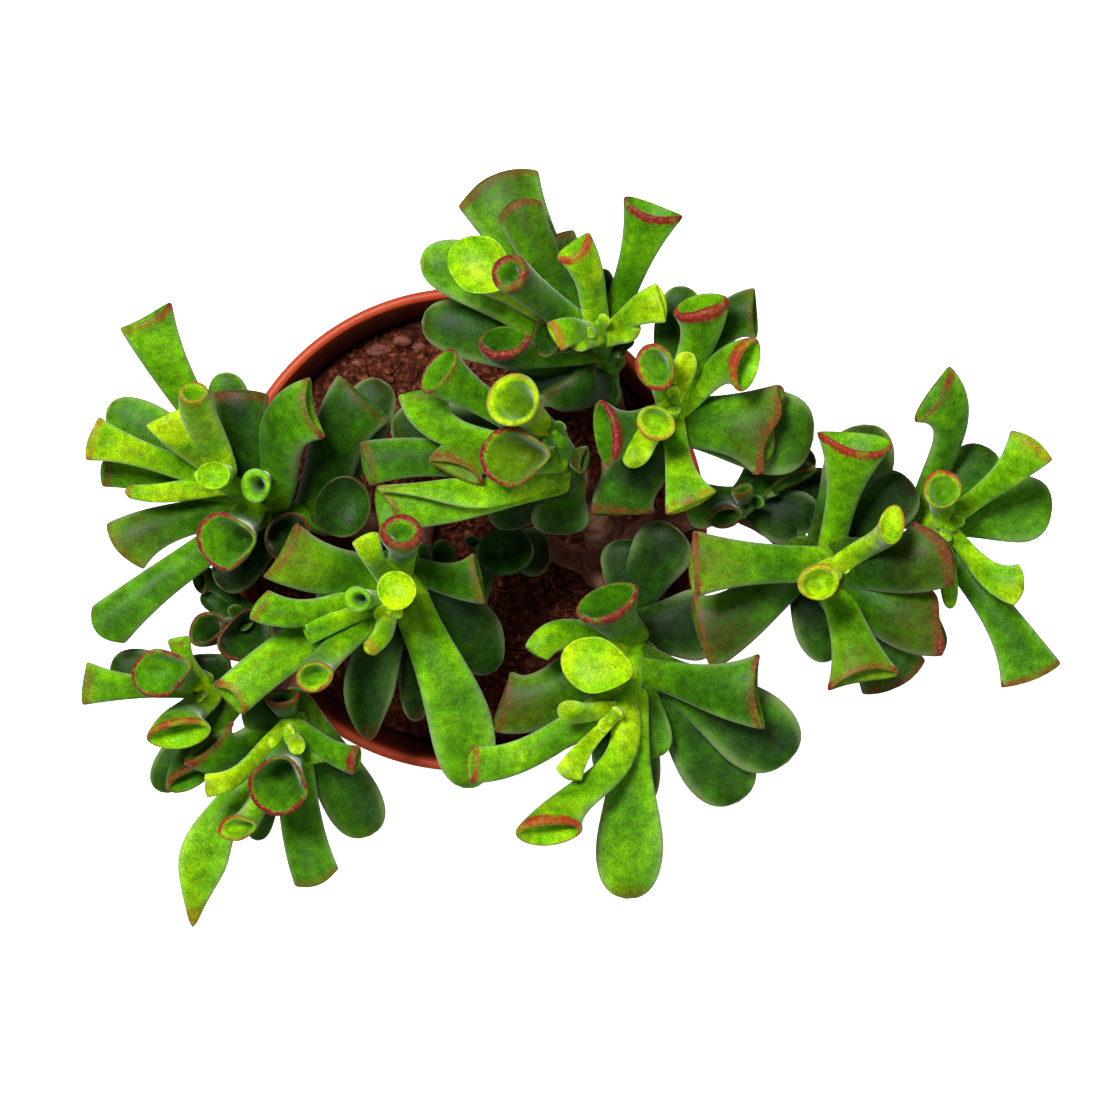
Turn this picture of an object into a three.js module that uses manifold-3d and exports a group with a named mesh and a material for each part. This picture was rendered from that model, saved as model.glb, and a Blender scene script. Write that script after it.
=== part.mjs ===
// A jade plant with trumpet and spoon shaped leaves, in a round nursery pot.
// Millimetres, +Z up, origin at the middle of the pot's base.
// Seen from above, +X is to the right and +Y is away.

import * as THREE from "three";
import { mergeVertices } from "three/addons/utils/BufferGeometryUtils.js";
import Module from "manifold-3d";

const wasm = await Module();
wasm.setup();

// Pot
const rimRadius = 60;
const potHeight = 105;
const baseRadius = 43;
const wallThickness = 1.6;
const collarHeight = 15;
const collarStep = 1.6;
const lipThickness = 2.6;
const floorThickness = 2;
const footHeight = 3;
const footWidth = 4;
const centreDiscRadius = 14;
const discBevel = 1.5;
const edgeBevel = 0.8;
const lipBevel = 0.6;
const drainHoleRadius = 3.2;
const drainHoleCount = 6;
const drainRingRadius = 27;
const drainHoleSides = 8;
const drillLength = 40;
const potSides = 32;

// Soil
const soilTop = 90;
const soilCrown = 2.5;
const soilRelief = 0.9;
const soilSides = 28;
const stemHoleDepth = 12;
const stemHoleSides = 12;
const stemHoleSlack = 1.6;
const soilSlack = 0.4;
const gap = 0.3;

// Leaves and stems
const stemSides = 6;
const uprightLead = 4;
const bladeSides = 6;
const bladeShoulder = 0.8;
const wideLeafSides = 7;
const slimLeafSides = 6;
const slimLeafWidth = 11;
const sideSwell = 1.02;
const leafRise = 0.35;
const stalkFlatness = 0.8;
const lipReach = 0.9;
const upwardFace = 45;
const viewHeight = 1300;
const planLevel = 170;
const planCentre = new THREE.Vector3(21, -5.1, 0);

const up = new THREE.Vector3(0, 0, 1);

// The form of the usual leaf. Turns are in degrees, and the rest are shares of a size of the leaf.
const usualLeaf = {
  bend: 0.35, // how far the leaf keeps its first and its last direction
  lead: 0, // turn of the first direction about the vertical
  veer: 0, // turn of the last direction about the vertical
  flare: 3.2, // the higher this power, the later a cup widens
  spoon: 0.5, // narrowing of an upward mouth towards the stem
  notch: 0.06, // depth of the notch in the upper lip
  notchTurn: 0, // turn of the notch away from the middle of the lip
  bulge: 0.02, // how far the middle of the mouth stands out past its corners
  skew: 0, // how far one corner of the mouth stands ahead of the other
  waist: 0.05, // where a blade starts to widen
  point: 0, // narrowing of a blade towards its end
  pointFrom: 0.7, // where that narrowing starts
};

// Each shoot has a stem, given by points and radii, and leaves in rows of ten values:
// root height, tip x, y and z, mouth width, mouth depth, direction of the mouth's long side,
// angle at which the mouth looks up, stalk width, and age from 0 for young to 1 for old.
// A row may end with the numbers by which its leaf differs from the usual one.
// Cups are hollow at the tip. Blades are flat, with a round end and their thickness as depth.
// Tips are placed as they appear in a plan seen from above at planLevel.
const shoots = {
  shoot_left: {
    stem: [[-34, 2, 132], [-46, 5, 148], [-54, 10, 160], [-59, 13, 172]],
    radii: [3.6, 3.2, 2.8, 2.4],
    cups: [
      [152, -73.7, 49.3, 178, 13.6, 6, 21, 3, 6.5, 0.42, { bulge: 0, notch: 0.06, skew: 0.05 }],
      [165, -68.8, 25.6, 182, 10, 5, 22, 12, 4.5, 0.12, { flare: 4 }],
      [160, -86, 21, 176, 10.5, 5.5, 73, 6, 5.4, 0.22, { bulge: 0.04, notch: 0, flare: 5 }],
      [154, -83.3, 13, 162, 6.5, 4.5, 85, 20, 5.5, 0.5],
      [162, -77.3, 8.6, 169, 3.2, 2.8, 80, 10, 5.2, 0.22, { bulge: 0.3, notch: 0 }],
      [166, -62.6, 31.8, 192, 6.8, 6, 0, 55, 9, 0.17, { flare: 4 }],
      [150, -34.2, 28.2, 174, 14.5, 6.5, 104, 3, 11.5, 0.58, { bulge: -0.05, flare: 2 }],
      [151, -51.8, 31, 165, 13.5, 5.5, 178, 0, 11, 0.85, { bulge: 0.08, notch: 0 }],
      [151, -78.2, -4, 158, 13.5, 6, 129, -5, 7.5, 0.62, { bulge: 0.16, notch: 0 }],
      [149, -82.5, -22.5, 156, 12, 6, 132, -4, 7.5, 0.52, { bulge: 0.22, notch: 0 }],
      [153, -54.8, -3, 178, 14.5, 15, 95, 70, 8, 0.45, { spoon: 0.45 }],
      [138, -23, 30.2, 158, 16, 6.5, 138, 3, 12, 0.85, { notch: 0.02 }],
      [134, -27.5, 5, 154, 14.5, 14, 90, 82, 8, 1],
      [142, -40.5, -2, 156, 12, 12, 60, 65, 6, 0.95],
      [150, -48, 10, 176, 8, 7.5, 90, 82, 5, 0.3],
      [168, -58, 12.3, 184, 8, 7, 10, 84, 5, 0.12],
    ],
    blades: [
      [150, -83.2, 28, 154, 12, 4, 70, 0, 6, 0.6],
      [150, -55, 36.8, 156, 10, 4, 0, 10, 5, 0.6],
      [136, -17.5, 34.5, 144, 13, 4, 145, 0, 6, 0.9],
      [144, -57, -13.5, 150, 11, 4, 130, 0, 6, 0.95],
    ],
  },
  shoot_low_left: {
    stem: [[-40, -20, 124], [-47, -21, 133], [-52, -21, 142]],
    radii: [2.8, 2.6, 2.2],
    cups: [
      [130, -50, -25.5, 150, 14, 13, 0, 74, 7, 0.92],
      [136, -59.5, -23.5, 149, 9, 9, 40, 60, 5, 0.85],
      [139, -61, -12, 146, 7, 5, 100, 40, 4, 0.9],
    ],
    blades: [
      [137, -60, -18.8, 142, 8, 4, 140, 0, 5, 0.9],
    ],
  },
  shoot_mid_left: {
    stem: [[-12, -6, 138], [-15, -12, 152], [-17, -20, 168]],
    radii: [3.3, 2.8, 2.3],
    cups: [
      [162, -15, -14.5, 184, 9, 9.8, 0, 80, 5.5, 0.05, { spoon: 0 }],
      [153, -13.9, -1, 190, 10, 9.4, 0, 68, 6.5, 0.45, { spoon: 0 }],
      [162, -24.2, -16.7, 180, 6.2, 7, 90, 78, 4.5, 0.28, { spoon: 0 }],
      [160, -22.2, -2.6, 180, 6.5, 4, 20, 18, 4.2, 0.2],
      [161, -35.7, -24.3, 174, 5.8, 4, 110, 8, 4, 0.25, { notch: 0.02 }],
      [155, -41.9, -5.4, 174, 15, 6, 58, 4, 11, 0.5, { bulge: -0.03, notch: 0.02 }],
      [157, -47, -18, 180, 8, 4.5, 65, 8, 5.8, 0.35, { notch: 0.02, skew: -0.06 }],
      [151, -54, -40, 170, 10, 6.5, 134, 8, 10, 0.35, { notch: 0.16 }],
      [158, -34.2, -34.9, 188, 8.6, 7.6, 20, 78, 6.5, 0.27, { spoon: 0 }],
      [162, -21.2, -28.2, 178, 4, 3.4, 130, 15, 5, 0.15, { bulge: 0.15 }],
      [142, -4, -6.5, 150, 8.5, 8, 100, 50, 5, 0.9],
      [148, 3.9, -11.8, 158, 12, 5.5, 103, 3, 6.5, 0.65, { bulge: 0.05, notch: 0.02 }],
    ],
    blades: [
      [141, 8.5, -33.5, 136, 16.5, 5.5, 40, -8, 9, 0.92, { point: 0.3 }],
      [150, 0.8, -61.2, 150, 15.2, 6, 168, -12, 9, 0.42, { waist: 0.2 }],
      [143, -21, -49.8, 144, 12, 4.5, 15, -5, 7.5, 0.85, { point: 0.4 }],
      [141, -33, -22, 138, 14, 5, 120, -8, 8, 0.95],
      [141, -10.5, -45.5, 136, 8, 4, 0, -8, 6, 0.95],
    ],
  },
  shoot_corner_outer: {
    stem: [[-52, -38, 132], [-58, -38.5, 142], [-63, -38, 153]],
    radii: [2.8, 2.5, 2.2],
    cups: [
      [147, -87.6, -36.5, 158, 10, 6, 84, 4, 4.4, 0.42, { bulge: 0.05, notch: 0.02 }],
      [147, -70, -33.8, 172, 11.5, 16.5, 105, 72, 7, 0.5, { spoon: 0.5 }],
      [149, -66, -26.3, 160, 5.5, 4, 10, 5, 3.6, 0.25],
      [146, -66.1, -48.2, 168, 15.5, 8.5, 8, 52, 7, 0.3, { spoon: 0 }],
      [137, -63.5, -58.5, 150, 12.5, 6.5, 24, 50, 6, 0.65],
    ],
    blades: [
      [142, -82.3, -32.5, 146, 11, 4.5, 80, -5, 6, 0.8],
      [138, -70.5, -62, 142, 9.5, 4.5, 160, -5, 6, 0.7],
      [140, -60, -29.3, 146, 12, 5, 0, 5, 6, 0.95],
    ],
  },
  shoot_corner_inner: {
    stem: [[-41, -41, 134], [-42, -45, 143], [-42, -49, 154]],
    radii: [2.8, 2.5, 2.2],
    cups: [
      [147, -42.7, -60.3, 174, 14.5, 15.5, 165, 72, 8, 0.55, { spoon: 0.3 }],
      [150, -59.3, -60.3, 168, 5.5, 3.6, 95, 0, 4, 0.12, { notch: 0 }],
      [145, -52.3, -70.3, 164, 6.5, 10.5, 100, 65, 5, 0.3],
      [142, -33.8, -81.8, 148, 11.5, 5.5, 22, 0, 8.5, 0.5, { bulge: 0.1, notch: 0, flare: 1.5 }],
      [147, -24.5, -54.5, 160, 7, 3.8, 78, 20, 5, 0.55],
      [144, -58.8, -50.6, 158, 15, 5.5, 40, 12, 7, 0.6],
      [146, -42, -39.5, 158, 8.5, 5, 0, 40, 5, 0.8],
      [148, -33.5, -54.5, 152, 6, 4, 10, -5, 4, 0.4, { notch: 0 }],
    ],
    blades: [
      [140, -62.8, -94, 144, 12, 5.5, 176, -8, 7, 0.25,
       { bend: 0.55, waist: 0.4, point: 0.6, pointFrom: 0.78 }],
      [151, -38.3, -53.2, 162, 4, 2.6, 0, 10, 3.5, 0.12],
      [146, -51.5, -43.5, 152, 9, 4.5, 95, 0, 6, 0.9],
      [137, -47.5, -73.5, 140, 8, 4, 0, -5, 5, 0.85],
      [138, -21, -72.3, 138, 14, 5.5, 25, -5, 8, 0.78],
    ],
  },
  shoot_centre: {
    stem: [[26, 13, 166], [24.5, 17.5, 177], [22, 22, 188]],
    radii: [3.2, 2.8, 2.4],
    cups: [
      [174, -8.3, 31.2, 186, 12.6, 5.5, 2, 4, 6, 0.4, { notch: 0.02, flare: 4 }],
      [178, -5, 37, 198, 12.5, 7.5, 52, 40, 6, 0.45, { flare: 4.5 }],
      [170, -22, 15.2, 178, 10.5, 5.5, 104, 5, 8, 0.64],
      [172, -1, 13.5, 184, 13.8, 4.4, 158, 20, 8, 0.6, { notch: 0.12 }],
      [181, 12.4, 30, 202, 13, 13, 60, 66, 6, 0.14, { spoon: 0 }],
      [176, 12.8, 16.8, 196, 14, 18.5, 95, 68, 8, 0.48, { spoon: 0.55 }],
      [170, -18.7, 4.6, 178, 10.5, 6.5, 94, 8, 9, 0.42,
       { notch: 0.3, notchTurn: 20, flare: 1, bend: 0.5 }],
      [171, 28.8, 16, 180, 6.5, 4.5, 78, 20, 4, 0.8],
    ],
    blades: [
      [169, 23, -1.5, 160, 13, 5, 0, -20, 7, 0.85],
      [171, -19.8, 7.4, 184, 8.5, 3.4, 92, 0, 6, 0.3, { bend: 0.5, point: 0.8, pointFrom: 0.5 }],
      [169, -16.5, 22.5, 162, 15, 4.5, 100, 0, 8, 0.9],
      [171, 12.5, -0.5, 153, 13, 4.5, 10, -12, 7, 0.95],
    ],
  },
  shoot_low_centre: {
    stem: [[12, -3, 112], [7, -4, 120], [3, -5, 127]],
    radii: [2.6, 2.4, 2],
    cups: [
      [116, 10.5, -5.5, 134, 14, 12.5, 0, 80, 7, 0.97],
    ],
    blades: [
      [120, 0, -22, 120, 11, 4.5, 0, -5, 6, 0.97],
      [120, 21, -5.5, 118, 12, 4.5, 95, 0, 6, 0.97],
    ],
  },
  shoot_top: {
    stem: [[35, 32, 150], [34, 40, 163], [32, 47.5, 184]],
    radii: [3.2, 2.8, 2.4],
    cups: [
      [168, 45, 74.9, 186, 14.2, 7, 162, 20, 6, 0.48, { notch: 0.12, flare: 3.8 }],
      [176, 46.5, 52.8, 190, 9.5, 4, 104, 6, 3.6, 0.12, { bulge: 0.12, flare: 1.7 }],
      [174, 26.6, 66, 194, 9.5, 5, 38, 26, 6.2, 0.24, { notch: 0.2 }],
      [164, 20.8, 66.5, 172, 13, 6, 27, 5, 11, 0.8, { bulge: 0.1, notch: 0 }],
      [171, 11.6, 59.8, 204, 9.4, 9, 55, 64, 7, 0.5, { spoon: 0 }],
      [170, 4.8, 61.6, 192, 13.5, 17.5, 62, 74, 7, 0.18, { spoon: 0.35 }],
      [166, 10.2, 43.6, 186, 12.3, 8.5, 10, 64, 6.5, 0.6],
      [158, 9, 79.6, 162, 20, 6, 24, 0, 12, 0.56, { bulge: 0.14, notch: 0 }],
      [161, 14, 74.3, 176, 11, 5.5, 22, 3, 8, 0.68, { bulge: 0.2, notch: 0 }],
      [177, 22.3, 45, 192, 7.5, 3.2, 118, 6, 6, 0.15, { notch: 0.02 }],
      [170, 20, 44.5, 180, 9, 8, 90, 60, 5, 0.85, { spoon: 0 }],
      [158, 25.5, 34.5, 168, 16, 5, 28, 0, 11, 0.9, { notch: 0 }],
    ],
    blades: [
      [158, -9.3, 48.5, 164, 14, 5, 85, -5, 8, 0.8],
      [163, -9.8, 62.5, 178, 14.5, 6, 88, 5, 8.5, 0.42],
      [177, 26, 42.2, 188, 5.5, 3, 140, 5, 4.5, 0.12],
      [166, 39.5, 42, 170, 6, 4, 30, -10, 5, 0.8],
      [166, 33.5, 61, 170, 5, 4, 5, 0, 4, 0.9],
      [174, 42, 45.4, 184, 6, 3.5, 60, 10, 4, 0.15],
      [160, 14.5, 36.5, 160, 13, 4.5, 60, -5, 8, 0.95],
    ],
  },
  shoot_top_right: {
    stem: [[48, 22, 155], [49, 26, 170], [50, 30, 184]],
    radii: [3.1, 2.8, 2.4],
    cups: [
      [177, 45.7, 37.8, 200, 11, 9.6, 112, 76, 6, 0.35, { spoon: 0 }],
      [174, 67, 38.5, 192, 13.2, 8.5, 72, 42, 6, 0.28],
      [174, 54, 6, 188, 13, 5.5, 24, 3, 5.5, 0.25, { notch: 0.03, flare: 4 }],
      [180, 45.8, 24.6, 200, 9.5, 8, 150, 80, 5, 0.15, { spoon: 0 }],
      [168, 72.3, 22.8, 178, 22, 6, 75, 4, 12, 0.62, { notch: 0 }],
      [174, 34.2, 22.2, 190, 15.8, 7.5, 97, 44, 6, 0.6],
      [160, 38, 4, 162, 15, 5.5, 2, -5, 13, 0.85, { notch: 0 }],
      [176, 56.5, 52, 194, 13, 7.5, 14, 45, 7, 0.4],
      [168, 68.6, 50.5, 180, 11.5, 6, 92, 8, 7, 0.8, { notch: 0.02 }],
    ],
    blades: [
      [180, 53, 41.5, 190, 5.5, 3.5, 0, 20, 3.5, 0.05],
      [178, 41, 14, 188, 7, 4, 10, -10, 4, 0.15],
      [166, 83, 21, 170, 20, 5, 80, -5, 9, 0.7],
      [166, 52.5, 57, 174, 11, 4.5, 170, 5, 6, 0.8],
      [165, 62, 44, 170, 12, 4.5, 110, 0, 7, 0.9],
    ],
  },
  shoot_branch: {
    stem: [[66, 7, 150], [67, 6, 158], [68, 5, 166]],
    radii: [2.5, 2.3, 2],
    cups: [
      [160, 62, 2.5, 170, 8.5, 6, 10, 50, 5, 0.8],
      [162, 66, 9, 174, 5, 4, 20, 30, 4, 0.85],
      [156, 77, 10.6, 163, 14.5, 6, 27, 12, 6, 0.75, { bulge: -0.05 }],
    ],
    blades: [
      [154, 80, 1, 156, 12, 4.5, 80, 0, 6, 0.95],
      [154, 73, 15, 156, 11, 4.5, 160, 0, 6, 0.92],
      [153, 90, 9.5, 152, 10, 4.5, 88, 0, 6, 0.93],
      [154, 84, 2.5, 156, 10, 4.5, 80, 0, 6, 0.95],
      [153, 53, 5, 150, 11, 4.5, 90, 0, 6, 0.9],
      [153, 83, 17.5, 156, 8, 4, 120, 0, 5, 0.8],
    ],
  },
  shoot_right: {
    stem: [[80, -4, 150], [85, -7, 162], [88, -9, 176]],
    radii: [3.3, 2.9, 2.4],
    cups: [
      [168, 92.3, 20.4, 188, 18.2, 9.5, 171, 22, 6.5, 0.35, { bulge: 0.03, notch: 0.08, flare: 4 }],
      [178, 101.2, 0.8, 196, 6, 10.5, 165, 62, 5, 0.16, { spoon: 0 }],
      [180, 84, -12.6, 200, 9.5, 9, 20, 78, 6, 0.15, { spoon: 0 }],
      [172, 55, -8.3, 182, 15, 5.5, 91, 2, 8.5, 0.48, { bulge: 0.03, notch: 0.02 }],
      [158, 57, -24.4, 161, 18, 5.5, 105, 0, 11, 0.78, { bulge: 0.04, notch: 0 }],
      [170, 110.8, -6, 182, 17, 6.5, 122, 5, 12, 0.85, { bulge: 0.2, notch: 0 }],
      [166, 111, -21.5, 172, 17.5, 6, 103, 0, 13, 0.8, { bulge: 0.08, notch: 0 }],
      [166, 94.5, -35.8, 180, 17, 6.5, 13, 8, 7.5, 0.42, { bulge: -0.05, notch: 0.1, flare: 3.6 }],
      [160, 101.5, -34.8, 162, 16.5, 6, 28, -3, 11, 0.8, { bulge: 0.12, notch: 0 }],
    ],
    blades: [
      [153, 88, -30.5, 154, 11, 4.5, 40, -5, 7, 0.95],
      [160, 106, 11, 168, 14, 5, 130, 0, 7, 0.95],
      [160, 94.5, 24.6, 168, 16, 5, 5, 5, 7, 0.85],
    ],
  },
  shoot_far_right: {
    stem: [[104, 3, 148], [111, 1.5, 158], [115.5, 0, 170]],
    radii: [3, 2.7, 2.3],
    cups: [
      [156, 111, 31.2, 178, 15, 6, 58, 15, 6.5, 0.5],
      [166, 113, 9.2, 188, 9, 9.4, 30, 78, 5.5, 0.27, { spoon: 0 }],
      [164, 134, 19.4, 182, 11.5, 5, 145, 5, 4.6, 0.24, { bulge: 0.06, notch: 0.02 }],
      [165, 130.2, -13.2, 176, 9.5, 4.2, 84, 0, 3.6, 0.2, { bulge: 0.16, notch: 0, flare: 2.2 }],
      [158, 133.7, -34.2, 164, 15, 6, 22, -5, 7, 0.5, { bulge: 0.06, notch: 0, flare: 3.8 }],
    ],
    blades: [
      [158, 139, 4.5, 160, 16, 5, 85, 0, 7, 0.55],
      [156, 124, 19, 158, 12, 4.5, 150, 0, 6, 0.65],
      [163, 114.8, -19, 168, 4, 4, 0, -10, 3.8, 0.3],
    ],
  },
  shoot_bottom: {
    stem: [[40, -20, 138], [41.5, -30, 152], [39, -40, 165], [35, -45, 176]],
    radii: [3.4, 3.1, 2.7, 2.3],
    cups: [
      [150, 34.4, -17.4, 174, 16, 9.5, 25, 54, 9, 0.58, { spoon: 0 }],
      [160, 32, -32.2, 184, 13, 18.5, 76, 74, 7, 0.08, { spoon: 0.35 }],
      [150, 18, -29, 168, 6.5, 4.2, 148, 0, 8, 0.3, { notch: 0 }],
      [146, 10.2, -40.8, 152, 14.5, 5.5, 73, 0, 12, 0.72, { notch: 0.02 }],
      [163, 2.8, -55.3, 172, 9, 4, 85, 14, 7, 0.33],
      [170, 25.4, -57.6, 182, 6.4, 3.4, 156, 4, 2.8, 0.12, { bulge: 0.1, notch: 0, flare: 2.4 }],
      [167, 20.6, -71, 188, 14.5, 8, 180, 48, 7, 0.25,
       { skew: 0.22, flare: 6, veer: -30, lead: 45, bend: 0.5 }],
      [156, 70, -38.2, 170, 17.5, 6, 94, 4, 6.5, 0.62, { bulge: -0.04, notch: 0.02, flare: 1.8 }],
    ],
    blades: [
      [156, 45.5, -54, 158, 10, 4.5, 10, -10, 7, 0.65],
      [152, 33.5, -58, 152, 7.5, 4.5, 175, -8, 6, 0.85],
      [170, 24.6, -40.4, 182, 6.5, 3, 12, 8, 3.8, 0.1],
      [162, 38.8, -87.2, 162, 16, 6, 174, -8, 8.5, 0.36, { waist: 0.3 }],
      [151, 43, -65, 148, 8, 4, 0, -10, 5, 0.8],
      [150, 65.5, -64.3, 148, 17, 5.5, 30, -8, 7, 0.85],
      [152, 77, -55, 156, 18.5, 5.5, 40, -5, 7, 0.8],
      [146, 60, -22, 148, 17, 5, 100, 0, 9, 0.95],
      [142, 51, 0, 150, 14, 5, 140, 0, 8, 0.95],
      [141, 39, -2.5, 144, 12, 4.5, 0, 0, 8, 0.97],
    ],
  },
};

// The woody stems, each a list of branches given by points and radii.
// A branch that carries a shoot names it, and ends upright, just under the shoot's foot.
const mainWood = [
  { points: [[33, -11, 80], [34, -8, 104], [34, -4, 122], [33, 0, 138]], radii: [5.5, 5.2, 4.7, 4] },
  { points: [[33, -1, 134], [31, 4, 148]], radii: [4, 3.6, 3.3], carries: "shoot_centre" },
  { points: [[34, -4, 122], [37, 12, 134], [36, 25, 141]], radii: [4.2, 3.7, 3.3], carries: "shoot_top" },
  { points: [[36, 4, 127], [42, 11, 138], [46, 18, 144]], radii: [3.6, 3.2], carries: "shoot_top_right" },
  { points: [[34, -7, 114], [48, 1, 129], [60, 5, 136], [69, 5, 139]], radii: [4.6, 4.2, 3.9, 3.6] },
  { points: [[67, 5, 138], [74, 1, 141]], radii: [3.6, 3.5, 3.4], carries: "shoot_right" },
  { points: [[67, 5, 138], [82, 8, 140], [97, 6, 140]], radii: [3.6, 3.1], carries: "shoot_far_right" },
  { points: [[61, 5, 136], [64, 7, 140]], radii: [3, 2.8, 2.6], carries: "shoot_branch" },
  { points: [[34, -9, 108], [37, -15, 122]], radii: [4.4, 3.9, 3.5], carries: "shoot_bottom" },
  { points: [[32, -9, 100], [21, -5, 103]], radii: [3.4, 3, 2.7], carries: "shoot_low_centre" },
];
const secondWood = [
  { points: [[-12, 3, 80], [-12, 0, 105], [-12, -4, 122]], radii: [4.6, 3.4], carries: "shoot_mid_left" },
  { points: [[-12, -1, 107], [-23, 1, 115]], radii: [4, 3.8, 3.6], carries: "shoot_left" },
  { points: [[-12, -2, 108], [-24, -16, 114], [-34, -28, 118]], radii: [3.9, 3.6, 3.3] },
  { points: [[-33, -27, 118], [-38, -35, 122]], radii: [3.2, 3, 2.9], carries: "shoot_corner_inner" },
  { points: [[-33, -27, 118], [-44, -36, 121]], radii: [3.2, 3, 2.9], carries: "shoot_corner_outer" },
  { points: [[-28, -21, 115.5], [-34, -20, 116]], radii: [3, 2.9, 2.8], carries: "shoot_low_left" },
];

const degrees = THREE.MathUtils.degToRad;
const vector = (point) => new THREE.Vector3(...point);

// A closed geometry as a manifold solid, turned so that its faces point out.
function solidOf(geometry) {
  const bare = geometry.clone();
  bare.deleteAttribute("normal");
  bare.deleteAttribute("uv");
  const merged = mergeVertices(bare, 1e-3);
  const triangles = [];
  for (let i = 0; i < merged.index.count; i += 3) {
    const [a, b, c] = [0, 1, 2].map((k) => merged.index.getX(i + k));
    if (a !== b && b !== c && c !== a) triangles.push(a, b, c);
  }
  const make = (triVerts) =>
    new wasm.Manifold(
      new wasm.Mesh({ numProp: 3, vertProperties: merged.attributes.position.array, triVerts }),
    );
  const solid = make(new Uint32Array(triangles));
  return solid.volume() > 0 ? solid : make(new Uint32Array(triangles.reverse()));
}

function geometryOf(solid) {
  const { vertProperties, triVerts } = solid.getMesh();
  const geometry = new THREE.BufferGeometry();
  geometry.setAttribute("position", new THREE.BufferAttribute(vertProperties, 3));
  geometry.setIndex(new THREE.BufferAttribute(triVerts, 1));
  return geometry;
}

// Moves each vertex of a geometry that stands along Y: place(along, across, thick) says where.
function reshape(geometry, place) {
  const position = geometry.getAttribute("position");
  for (let i = 0; i < position.count; i++) {
    const point = place(position.getY(i), position.getX(i), position.getZ(i));
    position.setXYZ(i, point.x, point.y, point.z);
  }
  return geometry;
}

function radiusAlong(radii, along) {
  const step = Math.min(along * (radii.length - 1), radii.length - 1.000001);
  const before = Math.floor(step);
  return THREE.MathUtils.lerp(radii[before], radii[before + 1], step - before);
}

// A tapering stem: a capped cylinder bent along a smooth curve through the points.
function stemSolid({ points, radii }) {
  const curve = new THREE.CatmullRomCurve3(points.map(vector));
  const steps = points.length;
  const straight = new THREE.CylinderGeometry(1, 1, 1, stemSides, steps);
  straight.translate(0, 0.5, 0);
  return solidOf(
    reshape(straight, (along, across, thick) => {
      const forward = curve.getTangent(along);
      const side = new THREE.Vector3(forward.y, -forward.x, 0);
      if (side.lengthSq() < 1e-6) side.set(1, 0, 0);
      side.normalize();
      const lift = new THREE.Vector3().crossVectors(side, forward);
      const radius = radiusAlong(radii, along);
      return curve
        .getPoint(along)
        .addScaledVector(side, across * radius)
        .addScaledVector(lift, thick * radius);
    }),
  );
}

// Lower tips are further from the eye, so they stand a little further out than the plan shows.
function fromPlan(x, y, z) {
  const spread = (viewHeight - z) / (viewHeight - planLevel);
  return new THREE.Vector3(x, y, 0).sub(planCentre).multiplyScalar(spread).add(planCentre).setZ(z);
}

function pointAtHeight(curve, height) {
  const points = curve.getPoints(40);
  return points.reduce((best, point) =>
    Math.abs(point.z - height) < Math.abs(best.z - height) ? point : best,
  );
}

// The form of a row's leaf. Only an upward mouth that is deeper than wide narrows by itself.
function formOf([, , , , wide, deep, , face, , , own = {}]) {
  const spoon = face > upwardFace && deep > wide ? usualLeaf.spoon : 0;
  return { ...usualLeaf, spoon, ...own };
}

// The centreline of a leaf from its root in the stem to its tip, with the tip's directions.
function leafPath(stemCurve, row) {
  const [rootHeight, x, y, z, , , across, face] = row;
  const { bend, lead, veer } = formOf(row);
  const root = pointAtHeight(stemCurve, rootHeight);
  const tip = fromPlan(x, y, z);
  const reach = tip.distanceTo(root);
  const outward = tip.clone().sub(root).setZ(0).normalize();
  const level = new THREE.Vector3(-Math.sin(degrees(across)), Math.cos(degrees(across)), 0);
  if (level.dot(outward) < 0) level.negate();
  const facing = level.clone().multiplyScalar(Math.cos(degrees(face)));
  facing.addScaledVector(up, Math.sin(degrees(face)));
  const lift = level.clone().multiplyScalar(-Math.sin(degrees(face)));
  lift.addScaledVector(up, Math.cos(degrees(face)));
  const start = outward.clone().addScaledVector(up, leafRise).normalize();
  const first = start.applyAxisAngle(up, degrees(lead));
  const last = facing.clone().applyAxisAngle(up, degrees(veer));
  const curve = new THREE.CubicBezierCurve3(
    root,
    root.clone().addScaledVector(first, reach * bend),
    tip.clone().addScaledVector(last, -reach * bend),
    tip,
  );
  const startSide = new THREE.Vector3().crossVectors(outward, up);
  const side = new THREE.Vector3().crossVectors(facing, lift);
  if (startSide.dot(side) < 0) startSide.negate();
  return { curve, side, startSide };
}

// Bends a leaf that stands along Y onto its path, wide and thick as the two functions say.
function bendLeaf(geometry, { curve, side, startSide }, halfSizes) {
  return reshape(geometry, (along, across, thick) => {
    const forward = curve.getTangent(along);
    const turned = startSide.clone().lerp(side, along);
    turned.addScaledVector(forward, -turned.dot(forward)).normalize();
    const lift = new THREE.Vector3().crossVectors(turned, forward);
    const { width, height, ahead } = halfSizes(along, across, thick);
    return curve
      .getPoint(along)
      .addScaledVector(turned, across * width)
      .addScaledVector(lift, thick * height)
      .addScaledVector(forward, ahead);
  });
}

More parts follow.
